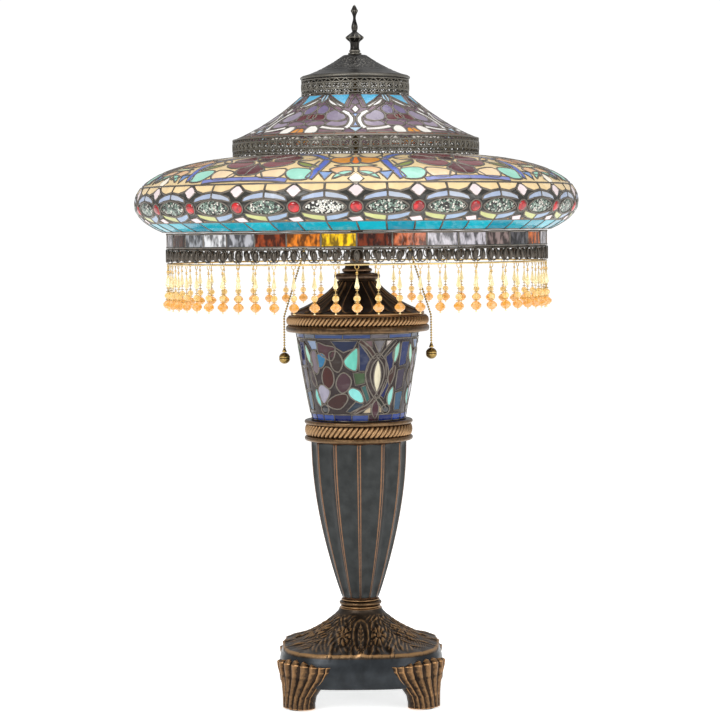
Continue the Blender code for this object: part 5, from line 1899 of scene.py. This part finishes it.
@dataclass
class RopeRing:
    """A ring with a rope twist, between plain fillets."""

    name: str
    node: str
    rope_share: Flat
    strands: int
    body: str = "lamp"

    def build(self) -> None:
        """Makes the turned core and repeats one strand of the twist round it."""
        low, high = box_heights(self.node)
        reach = box_radius(self.node)
        tall = high - low
        bottom, top = low + tall * self.rope_share[0], low + tall * self.rope_share[1]
        middle, half = (bottom + top) / 2, (top - bottom) / 2
        inner = reach - 0.015
        section = [(inner, low), (reach - 0.0034, low)]
        if bottom - low > 0.001:
            centre = (reach - 0.0028, (low + bottom) / 2)
            section += arc(centre, (0.0024, (bottom - low) / 2), 2.2, -80, 80, 8)
        section += [(reach - 0.0045, bottom), (reach - 0.0026, middle), (reach - 0.0045, top)]
        if high - top > 0.001:
            section += arc((reach - 0.0028, (high + top) / 2), (0.0024, (high - top) / 2), 2.2, -80, 80, 8)
        section += [(reach - 0.0034, high), (inner, high)]
        core = turned(f"{self.name}_fillets", section, 128, looped=True)
        settle(core, COPPER, self.body, (self.node,))
        length = half * 2.15
        slant = math.radians(42)
        pitch = math.tau * reach / self.strands
        thick = pitch * 0.56

        def point(turn: float, share: float) -> Vector:
            """A place on one plump slanting strand at the front."""
            angle = math.tau * turn
            along = -math.cos(math.pi * share)
            ring = max(0.02, math.sin(math.pi * share)) ** 0.55
            across = math.cos(angle) * ring * thick
            proud = math.sin(angle) * ring * 0.0034
            x = across * math.cos(slant) + along * length / 2 * math.sin(slant)
            z = along * length / 2 * math.cos(slant) * 1.25 - across * math.sin(slant) * 0.35
            z = max(-half, min(half, z))
            sink = 0.0040 + 0.0010 * (z / half) ** 2 + x * x / (2 * reach)
            return Vector((x, -(reach - sink + proud * 0.95), middle + z))

        strand = skinned(f"{self.name}_twist", point, 12, 8)
        rope = RING.run(strand, f"{self.name}_twist", COPPER, Count=self.strands, Seed=1)
        settle(rope, COPPER, self.body, ())


@dataclass
class Stem:
    """Collar, fluted column and the turned pieces above the urn."""

    body: str = "lamp"
    flutes: int = 12
    foot_radius: float = 0.0205
    head_radius: float = 0.0550

    def column(self) -> None:
        """Trumpet column with concave flutes between sharp ribs."""
        low, high = box_heights("fluted_column")

        def point(turn: float, share: float) -> Vector:
            """A place on the column; a rib faces the front."""
            swell = math.sin(math.pi / 2 * share) ** 0.9 if share > 0 else 0.0
            rib = self.foot_radius + (self.head_radius - self.foot_radius) * swell
            across = (turn * self.flutes) % 1.0
            crest = 0.055
            if across < crest or across > 1 - crest:
                cut = 0.0
            else:
                cut = math.sin(math.pi * (across - crest) / (1 - 2 * crest)) ** 0.75
            fade = smooth_step(0, 0.03, share) * (1 - 0.4 * smooth_step(0.97, 1.0, share))
            radius = rib * (1.0 - 0.105 * cut * fade)
            angle = math.tau * turn
            return Vector((radius * math.sin(angle), -radius * math.cos(angle), low + (high - low) * share))

        piece = skinned("column_fluted", point, 12 * 18, 56)
        settle(piece, COLUMN_BRONZE, self.body, ("fluted_column",))

    def collar(self) -> None:
        """Copper collar with a groove above and below its bead."""
        low, high = box_heights("collar_ring")
        reach = box_radius("collar_ring")
        tall = high - low
        section = [(0.006, low), (reach - 0.004, low)]
        section += arc((reach - 0.0045, low + tall * 0.13), (0.0030, tall * 0.12), 2, -80, 80, 6)
        section += arc((reach - 0.0055, low + tall * 0.52), (0.0055, tall * 0.27), 2.2, -80, 80, 14)
        section += arc((reach - 0.0050, low + tall * 0.89), (0.0028, tall * 0.10), 2, -80, 80, 6)
        section += [(reach - 0.006, high), (0.006, high)]
        settle(turned("collar_bead", section, 96, looped=True), COPPER, self.body, ("collar_ring",))

    def neck(self) -> None:
        """Turned neck: a copper-edged flange and a plain tube above it."""
        low, high = box_heights("turned_neck")
        flange = box_radius("turned_neck")
        tube = 0.0145
        section = [(0.0056, low), (0.0215, low), (flange - 0.0016, low + 0.0011)]
        section += arc((flange - 0.0014, low + 0.0040), (0.0014, 0.0027), 2, -70, 70, 8)
        section += [(flange - 0.003, low + 0.0072), (tube + 0.0026, low + 0.0080)]
        section += arc((tube, low + 0.0110), (0.0030, 0.0024), 2, -80, 80, 8)
        section += [(tube - 0.0004, low + 0.0138), (tube - 0.0008, low + 0.0165), (tube, high - 0.0012),
                    (tube, high), (0.0056, high)]
        piece = turned("neck_turned", section, 80, looped=True)
        settle(piece, NECK_BRONZE, self.body, ("turned_neck",))
        low, high = box_heights("neck_tube")
        reach = box_radius("neck_tube")
        section = [(0.0056, low), (reach, low), (reach, low + 0.004), (reach - 0.0006, low + 0.0046),
                   (reach - 0.0006, high - 0.0046), (reach, high - 0.004), (reach, high), (0.0056, high)]
        piece = turned("neck_pipe", section, 48, looped=True)
        settle(piece, NECK_BRONZE, self.body, ("neck_tube",))

    def build(self) -> None:
        """Makes the collar, column, rope rings and neck."""
        self.collar()
        self.column()
        RopeRing("rope_under_urn", "rope_ring", (0.22, 0.80), 62).build()
        RopeRing("rope_over_urn", "rope_rim", (0.40, 0.97), 96).build()
        self.neck()


@dataclass
class Urn:
    """Leaded glass urn and its embossed cap."""

    body: str = "lamp"
    swell: float = 0.0008
    foot_radius: float = 0.0545

    def surface(self) -> TurnedSurface:
        """The urn's outer face."""
        low, high = box_heights("urn_glass")
        head = box_radius("urn_glass")
        profile = []
        for i in range(13):
            share = 1 - i / 12
            bow = 4 * share * (1 - share) * self.swell
            radius = self.foot_radius + (head - self.foot_radius) * share + bow
            profile.append((radius, low + (high - low) * share))
        return TurnedSurface(profile)

    def pattern(self) -> GlassPattern:
        """A third of the urn: a plum flower on the left, an eye of cream on the right."""
        made = GlassPattern(self.surface(), mirrored=False)
        made.panes.append(Pane([(-60, 0), (60, 0), (60, 1), (-60, 1)], "#2a1e1e", 0))
        for left, right, tint in ((-60, -44, "#666d7c"), (-44, -14, "#344c80"), (-14, 12, "#2c4277"),
                                  (12, 30, "#66616a"), (30, 60, "#3e5285")):
            made.pane([(left, 0.01), (right, 0.01), (right, 0.06), (left, 0.06)], tint)
        for left, right, tint in ((-60, -46, "#2a4494"), (-46, -30, "#334c96"), (-30, -8, "#101e5f"),
                                  (-8, 12, "#394b89"), (12, 24, "#341121"), (24, 44, "#142568"), (44, 60, "#2a4494")):
            made.pane([(left, 0.92), (right, 0.92), (right, 0.995), (left, 0.995)], tint)
        made.pane([(-56, 0.08), (-43, 0.08), (-42, 0.18), (-50, 0.19)], "#8495b0")
        made.shaped([(-41, 0.10), (-32, 0.13), (-22, 0.16), (-26, 0.30), (-36, 0.26), (-42, 0.20)], "#47272e")
        made.pane([(-26, 0.08), (0, 0.08), (-4, 0.17), (-14, 0.21), (-21, 0.16)], "#0b1b3d")
        made.shaped([(-12, 0.27), (-3, 0.17), (0, 0.18), (-0.5, 0.36), (-3, 0.42), (-11, 0.38), (-14, 0.32)],
                    "#6dc6b4", 2)
        made.pane([(1, 0.10), (9, 0.22), (12, 0.28), (9, 0.42), (1, 0.42)], "#16244a")
        made.shaped([(-45, 0.26), (-38, 0.22), (-33, 0.27), (-37, 0.37), (-43, 0.38)], "#2c719c", 2)
        made.shaped([(-52, 0.22), (-45, 0.20), (-43, 0.40), (-48, 0.46), (-54, 0.38)], "#766a73")
        made.shaped([(-29, 0.22), (-20, 0.20), (-15, 0.32), (-20, 0.43), (-27, 0.38)], "#2b1e19")
        made.shaped([(-40, 0.47), (-34, 0.37), (-27, 0.42), (-26, 0.54), (-32, 0.62), (-39, 0.58)], "#3f1109", 2)
        made.shaped([(-20, 0.47), (-13, 0.44), (-7, 0.52), (-10, 0.62), (-18, 0.67), (-24, 0.58)], "#3e242c", 2)
        made.shaped([(-47, 0.60), (-40, 0.58), (-32, 0.65), (-36, 0.74), (-43, 0.80), (-49, 0.70)], "#9995a5", 1)
        made.shaped([(-37, 0.78), (-26, 0.70), (-14, 0.68), (-12, 0.75), (-21, 0.85), (-33, 0.84)], "#341612", 2)
        made.shaped([(-11, 0.65), (-6, 0.61), (2, 0.65), (6, 0.76), (1, 0.78), (-8, 0.72)], "#7ecbc6", 2)
        made.pane([(-5, 0.44), (8, 0.44), (7, 0.56), (-3, 0.58)], "#384e2f")
        made.pane([(-14, 0.88), (-2, 0.76), (6, 0.80), (-6, 0.91)], "#212e3d")
        made.pane([(3, 0.60), (8, 0.58), (13, 0.74), (9, 0.78)], "#2d5552")
        eye = [(20, 0.24), (13, 0.33), (10, 0.46), (13, 0.60), (20, 0.72)]
        made.ribbon(eye, 5.5, "#342825", 2)
        made.ribbon([(40 - a, s) for a, s in eye], 5.5, "#2a1c19", 2)
        made.leaf((20, 0.30), (20, 0.66), 8.5, "#d7cfb4", 0, 3)
        made.ribbon([(2, 0.08), (10, 0.16), (17, 0.27)], 4.5, "#3d2822", 2)
        made.ribbon([(38, 0.08), (31, 0.16), (23, 0.27)], 4.5, "#211917", 2)
        made.pane([(15, 0.08), (27, 0.08), (21, 0.24)], "#69666a", 1)
        made.pane([(28, 0.08), (36, 0.08), (28, 0.18)], "#c3b7b0", 1)
        made.pane([(5, 0.08), (14, 0.08), (14, 0.16), (9, 0.13)], "#664e52", 1)
        made.ribbon([(19, 0.73), (12, 0.81), (2, 0.86), (-8, 0.91)], 4.0, "#3d2822", 2)
        made.ribbon([(21, 0.73), (27, 0.80), (33, 0.88)], 4.5, "#18180d", 2)
        made.leaf((19.5, 0.74), (19.5, 0.97), 8.5, "#3d1925", 0, 3)
        made.pane([(5, 0.90), (14, 0.79), (14.5, 0.90)], "#c2b093", 1)
        made.pane([(24, 0.79), (29, 0.90), (24, 0.90)], "#b4a285", 1)
        made.pane([(28, 0.26), (38, 0.17), (37, 0.44), (30, 0.50)], "#0d184d", 1)
        made.leaf((43, 0.10), (39, 0.34), 8.5, "#95d2be", 1.5, 2)
        made.leaf((40, 0.36), (35, 0.60), 8.5, "#3f2520", 1.5, 2)
        made.pane([(30, 0.52), (35, 0.58), (29, 0.74), (24, 0.70)], "#101a54", 1)
        made.leaf((40, 0.60), (37, 0.84), 8.0, "#8ccfc6", 1.5, 2)
        made.leaf((-60, 0.12), (-52, 0.38), 8.0, "#a5d8c4", 1.5, 2)
        made.leaf((-55, 0.40), (-50, 0.62), 8.5, "#331f22", 1.5, 2)
        made.leaf((-52, 0.62), (-47, 0.84), 8.0, "#7ec6be", 1.5, 2)
        made.pane([(46, 0.10), (58, 0.10), (56, 0.36), (45, 0.38)], "#132559", 1)
        made.pane([(44, 0.42), (56, 0.40), (55, 0.62), (43, 0.66)], "#342a3e", 1)
        made.pane([(44, 0.68), (57, 0.66), (56, 0.88), (45, 0.88)], "#2a4e6a", 1)
        return made

    def jewels(self) -> None:
        """Round black jewels low on the urn."""
        surface = self.surface()
        made = []
        rims = []
        for angle in (-42.0, 33.0):
            middle = surface.place(angle, 0.86, -0.0022)
            turn = math.radians(angle)
            out = Vector((math.sin(turn), -math.cos(turn), -0.15)).normalized()
            side = Vector((math.cos(turn), math.sin(turn), 0))
            up = out.cross(side)

            def point(round_turn: float, along: float) -> Vector:
                """Ring by ring from the back of the stone to its crown."""
                lean, tilt = math.tau * round_turn, math.pi * along
                ring = 0.0052 * math.sin(tilt)
                lift = 0.0021 * -math.cos(tilt)
                return middle + side * ring * math.cos(lean) + up * ring * math.sin(lean) + out * lift

            made.append(skinned("stone", point, 24, 10))
            edge = [middle + side * 0.0056 * math.cos(math.tau * i / 20) + up * 0.0056 * math.sin(math.tau * i / 20)
                    + out * 0.0008 for i in range(20)]
            rims.append((edge, True))
        stones = RING.run(joined("stones", made), "urn_jewels", BLACK_JEWEL, Count=3, Seed=1)
        settle(stones, BLACK_JEWEL, self.body, ())
        wire = SWEEP.run(wires("rims", rims), "rims", CAME, Radius=0.0011, Sides=6)
        settle(RING.run(wire, "urn_jewel_rims", CAME, Count=3, Seed=1), CAME, self.body, ())

    def cap(self) -> None:
        """Concave cap embossed with broad smooth leaves between ribbed ones."""
        low, high = box_heights("urn_cap")
        foot, head = box_radius("urn_cap"), 0.0215
        reach = foot - head
        line = arc((foot, high), (reach, high - low - 0.003), 1.35, 180, 270, 44)
        levels = [(0.006, high)] + line + [(foot, low + 0.0016), (foot - 0.0008, low), (0.060, low)]

        def point(turn: float, share: float) -> Vector:
            """A place on the cap, embossing included."""
            index = round(share * (len(levels) - 1))
            radius, height = levels[index]
            angle = math.tau * turn
            if 3 < index < 42:
                along = (index - 3) / 39
                sector = (math.degrees(angle) + 22.5) % 45 - 22.5
                broad = int(((math.degrees(angle) + 22.5) % 360) // 45) % 2 == 0
                across = abs(sector) / 22.5
                fade = smooth_step(0, 0.10, along) * (1 - smooth_step(0.90, 1.0, along))
                width = 0.93 * math.sin(math.pi * min(1, 0.12 + along * 0.80)) ** 0.6
                inside = 1 - smooth_step(width - 0.10, width, across)
                lift = 0.0012 * inside
                if not broad:
                    lift += 0.0006 * inside * math.cos(across * 13 - along * 5)
                lift += 0.0006 * math.exp(-((across / 0.07) ** 2)) * inside
                height += lift * fade * 0.8
                radius += lift * fade * 0.6
            return Vector((radius * math.sin(angle), -radius * math.cos(angle), height))

        piece = skinned("urn_cap_embossed", point, 288, len(levels) - 1)
        settle(piece, BRONZE, self.body, ("urn_cap",))

    def build(self) -> None:
        """Makes the urn's glass, jewels and cap."""
        skin = LeadedSkin("urn_panes", self.body, 3, 0.0011, 0.0030, 6.0, 0.012)
        skin.make(self.pattern(), URN_GLASS, ("urn_glass",))
        self.jewels()
        self.cap()




# ---------------------------------------------------------------- lights and pulls
@dataclass
class LightCluster:
    """Cluster body, sockets, bulbs and the fittings that stay as the frame has them."""

    body: str = "lamp"

    def lying(self, side: int, start: float) -> Matrix:
        """Places a piece turned about Z so that it lies along X, away from the cluster."""
        low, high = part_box("cluster_body")
        turn = Matrix.Rotation(side * math.pi / 2, 4, "Y")
        return Matrix.Translation((side * start, 0, (low.z + high.z) / 2)) @ turn

    def cluster(self) -> None:
        """Round cluster body with a seam bead."""
        low, high = box_heights("cluster_body")
        reach = box_radius("cluster_body")
        half = (high - low) / 2
        section = [(0.004, low), (0.007, low)]
        section += arc((0, low + half), (reach - 0.0006, half), 4.0, -72, -8, 16)
        section += arc((reach - 0.0012, low + half), (0.0012, 0.0016), 2, -90, 90, 7)
        section += arc((0, low + half), (reach - 0.0006, half), 4.0, 8, 72, 16)
        section += [(0.007, high), (0.004, high)]
        piece = turned("cluster_shell", section, 64, looped=True)
        settle(piece, BRONZE, self.body, ("cluster_body",))

    def socket(self, side: int, label: str) -> None:
        """Ribbed phenolic socket, its bulb and the bulb's threaded cap."""
        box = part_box(f"socket_{label}")
        inner = min(abs(box[0].x), abs(box[1].x))
        length = abs(box[1].x - box[0].x)
        reach = (box[1].y - box[0].y) / 2
        wall = 0.0137
        section = [(0.004, 0.0), (reach - 0.006, 0.0), (reach - 0.001, 0.004), (reach, 0.0055)]
        for i in range(8):
            start = 0.010 + i * 0.0034
            section += [(reach, start), (reach - 0.0008, start + 0.0008), (reach - 0.0008, start + 0.0020),
                        (reach, start + 0.0028)]
        section += [(reach, length - 0.003), (reach - 0.0008, length), (wall, length), (wall, length - 0.0268),
                    (0.004, length - 0.0268)]
        piece = turned(f"socket_shell_{label}", section, 56, place=self.lying(side, inner), looped=True)
        settle(piece, PHENOLIC, self.body, (f"socket_{label}",))
        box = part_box(f"bulb_cap_{label}")
        inner = min(abs(box[0].x), abs(box[1].x))
        length = abs(box[1].x - box[0].x)
        reach = (box[1].y - box[0].y) / 2
        section = [(0, 0), (0.004, 0.0), (reach - 0.003, 0.004)]
        for i in range(5):
            start = 0.0050 + i * 0.0036
            section += [(reach, start + 0.0009), (reach - 0.0012, start + 0.0027)]
        section += [(reach, length - 0.001), (reach, length), (0, length)]
        cap = turned(f"bulb_screw_{label}", section, 48, place=self.lying(side, inner))
        settle(cap, BRASS, f"bulb_{label}", (f"bulb_cap_{label}",))
        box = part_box(f"bulb_glass_{label}")
        inner = min(abs(box[0].x), abs(box[1].x))
        length = abs(box[1].x - box[0].x)
        reach = (box[1].y - box[0].y) / 2
        neck = [(0, 0), (0.0122, 0), (0.0126, 0.004), (0.0132, 0.012), (0.0155, 0.022), (0.0190, 0.032),
                (0.0221, 0.042)]
        crown = arc((0, length - reach), (reach, reach), 2.0, -22, 90, 18)
        bulb = turned(f"bulb_envelope_{label}", [p for p in neck] + crown, 64, place=self.lying(side, inner))
        settle(bulb, BULB, f"bulb_{label}", (f"bulb_glass_{label}",))

    def urn_light(self) -> None:
        """Small lamp inside the urn."""
        low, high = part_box("urn_bulb_glass")
        reach = (high.x - low.x) / 2
        place = Matrix.Translation(((low.x + high.x) / 2, (low.y + high.y) / 2, low.z))
        tall = high.z - low.z
        line = [(0, 0), (0.0058, 0), (0.0064, 0.003)]
        line += arc((0, tall * 0.42), (reach, tall * 0.58), 1.8, -35, 90, 16)
        line = [p for p in line if p[1] >= 0]
        bulb = turned("urn_bulb_envelope", line, 40, place=place)
        settle(bulb, BULB, self.body, ("urn_bulb_glass",))

    def build(self) -> None:
        """Makes the cluster, and gives the frame's own fittings their finishes."""
        self.cluster()
        for side, label in ((-1, "left"), (1, "right")):
            self.socket(side, label)
        self.urn_light()
        fittings = (
            (STEEL, ("bottom_cover", "base_clamp_washer", "urn_seat_disc", "centre_pipe")),
            (IRON, ("ballast_disc",)),
            (BRASS, ("base_clamp_nut", "seat_nut", "riser_rod", "shade_seat_washer", "urn_socket_bracket",
                     "urn_bulb_cap", "pull_spout_left", "pull_spout_right")),
            (PORCELAIN, ("urn_socket",)),
        )
        for finish, names in fittings:
            for name in names:
                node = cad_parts[name]
                node.data.materials.clear()
                node.data.materials.append(finish.material())
                LOG.info("%s: kept from the frame", name)


@dataclass
class PullChain:
    """Ball chain, its bell and the ball that the hand takes."""

    side: int
    label: str
    tilt: float = 17.5
    bead: float = 0.0013
    bend: float = 0.0120

    def path(self) -> list[Vector]:
        """The chain's line, from inside its spout over the bend to the bell."""
        low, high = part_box(f"pull_chain_{self.label}")
        tilt = math.radians(self.tilt)
        outer = max(abs(low.x), abs(high.x)) - self.bead
        slope = Vector((self.side * math.sin(tilt), 0, -math.cos(tilt)))
        bell_top = box_heights(f"pull_bell_{self.label}")[1]
        rim_top = box_heights("rope_rim")[1]
        corner = Vector((self.side * outer, 0, rim_top - 0.001))
        cut = self.bend * math.tan(tilt / 2)
        begin = corner - slope * cut
        top = high.z - 0.0012
        start = begin - slope * ((top - begin.z) / abs(slope.z))
        points = [start, begin]
        centre = Vector((corner.x - self.side * self.bend, 0, corner.z - cut))
        for i in range(1, 6):
            angle = tilt * (1 - i / 5)
            points.append(centre + Vector((self.side * math.cos(angle), 0, math.sin(angle))) * self.bend)
        points.append(Vector((corner.x, 0, bell_top)))
        return points

    def build(self) -> None:
        """Makes the chain, its core wire, the bell and the ball."""
        body = f"pull_{self.label}"
        path = self.path()
        source = wires("chain_line", [(path, False)])
        beads = STRING.run(source, f"ball_chain_{self.label}", BRASS, Radius=self.bead, Spacing=0.0030)
        settle(beads, BRASS, body, (f"pull_chain_{self.label}",))
        core = SWEEP.run(wires("chain_core", [(path, False)]), f"chain_links_{self.label}", BRASS,
                         Radius=0.0005, Sides=6)
        settle(core, BRASS, body, ())
        low, high = box_heights(f"pull_bell_{self.label}")
        place = Matrix.Translation((path[-1].x, 0, 0))
        reach = 0.0026
        profile = [(0, high), (0.0009, high), (0.0015, high - 0.0006), (0.0018, high - 0.0022),
                   (reach, high - 0.0034), (reach, low + 0.0004), (reach - 0.0004, low), (0, low)]
        bell = turned(f"pull_cap_{self.label}", profile, 28, place=place)
        settle(bell, BRASS, body, (f"pull_bell_{self.label}",))
        low, high = box_heights(f"pull_ball_{self.label}")
        middle, half = (low + high) / 2, (high - low) / 2
        profile = arc((0, middle), (half, half), 2.0, 90, 6, 14)
        profile += [(half - 0.0004, middle + 0.0004), (half - 0.0004, middle - 0.0004)]
        profile += arc((0, middle), (half, half), 2.0, -6, -90, 14)
        ball = turned(f"pull_knob_{self.label}", profile, 40, place=place)
        settle(ball, BRASS, body, (f"pull_ball_{self.label}",))


# ---------------------------------------------------------------- studio
@dataclass(frozen=True)
class PaintedFloor(Finish):
    """Matt painted studio floor, almost white."""

    label: str = "painted studio floor"

    def dress(self, tree: bpy.types.NodeTree, shader: bpy.types.Node) -> None:
        """Pale paint with hardly any cloud in it."""
        clouds = between(tree, grain(tree, 0.5), 0.2, 0.8)
        colour = blended(tree, clouds, linear("#f3f3f2"), linear("#f7f7f6"))
        tree.links.new(colour, shader.inputs["Base Color"])
        tree.links.new(colour, shader.inputs["Emission Color"])
        shader.inputs["Emission Strength"].default_value = 0.7
        shader.inputs["Roughness"].default_value = 0.75


@dataclass
class Studio:
    """Floor, soft lights and the camera."""

    eye_height: float = 0.536
    distance: float = 2.65
    lens: float = 115.0
    aim_height: float = 0.391
    shift_right: float = 0.0023
    roll: float = -0.6

    def floor(self) -> None:
        """A wide pale floor."""
        shape = bmesh.new()
        bmesh.ops.create_grid(shape, x_segments=2, y_segments=2, size=6.0)
        mesh = bpy.data.meshes.new("studio_floor")
        shape.to_mesh(mesh)
        shape.free()
        floor = linked("studio_floor", mesh)
        mesh.materials.append(PaintedFloor().material())

    def area(self, name: str, place: Vector, aim: Vector, size: float, power: float) -> None:
        """One soft square light.

        Args:
            name: The light's name.
            place: Where it stands.
            aim: What it points at.
            size: Length of its side.
            power: Its power in watts.
        """
        data = bpy.data.lights.new(name, "AREA")
        data.size = size
        data.energy = power
        light = bpy.data.objects.new(name, data)
        bpy.context.scene.collection.objects.link(light)
        light.location = place
        light.rotation_euler = (aim - place).to_track_quat("-Z", "Y").to_euler()

    def camera(self) -> None:
        """The camera, a little above the urn and looking slightly down."""
        data = bpy.data.cameras.new("studio_camera")
        data.lens = self.lens
        data.sensor_width = 36.0
        made = bpy.data.objects.new("studio_camera", data)
        bpy.context.scene.collection.objects.link(made)
        eye = Vector((self.shift_right, -self.distance, self.eye_height))
        aim = Vector((self.shift_right, 0, self.aim_height))
        turn = (aim - eye).to_track_quat("-Z", "Y").to_matrix().to_4x4()
        roll = Matrix.Rotation(math.radians(self.roll), 4, "Z")
        made.matrix_world = Matrix.Translation(eye) @ turn @ roll
        bpy.context.scene.camera = made

    def build(self) -> None:
        """Sets up the studio."""
        scene = bpy.context.scene
        scene.view_settings.view_transform = "Standard"
        world = bpy.data.worlds.new("studio_world")
        world.use_nodes = True
        tree = world.node_tree
        tree.nodes.clear()
        backdrop = add_node(tree, "ShaderNodeBackground", {"Color": (1, 1, 1, 1), "Strength": 1.05})
        around = add_node(tree, "ShaderNodeBackground", {"Color": (1, 1, 1, 1), "Strength": 0.55})
        seen = add_node(tree, "ShaderNodeLightPath").outputs["Is Camera Ray"]
        mixed = add_node(tree, "ShaderNodeMixShader", {0: seen, 1: around.outputs[0], 2: backdrop.outputs[0]})
        add_node(tree, "ShaderNodeOutputWorld", {"Surface": mixed.outputs[0]})
        scene.world = world
        aim = Vector((0, 0, 0.45))
        self.floor()
        self.area("key_light", Vector((-1.3, -2.0, 1.7)), aim, 1.2, 26)
        self.area("fill_light", Vector((1.7, -1.7, 1.0)), aim, 1.4, 14)
        self.area("top_light", Vector((0.2, 0.3, 2.4)), aim, 1.2, 14)
        self.camera()


def main() -> None:
    """Builds the studio and then the lamp from the feet up."""
    logging.basicConfig(level=logging.INFO, format="%(name)s: %(message)s")
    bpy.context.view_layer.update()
    Studio().build()
    builders = (
        Base(), Stem(), Urn(), LightCluster(), PullChain(-1, "left"), PullChain(1, "right"),
        ShadeMetal(), ConeGlass(), DomeGlass(), AmberBand(), FringeTrim(), BeadFringe(), Finial(),
    )
    for builder in builders:
        LOG.info("%s", type(builder).__name__)
        builder.build()


if __name__ == "__main__":
    main()
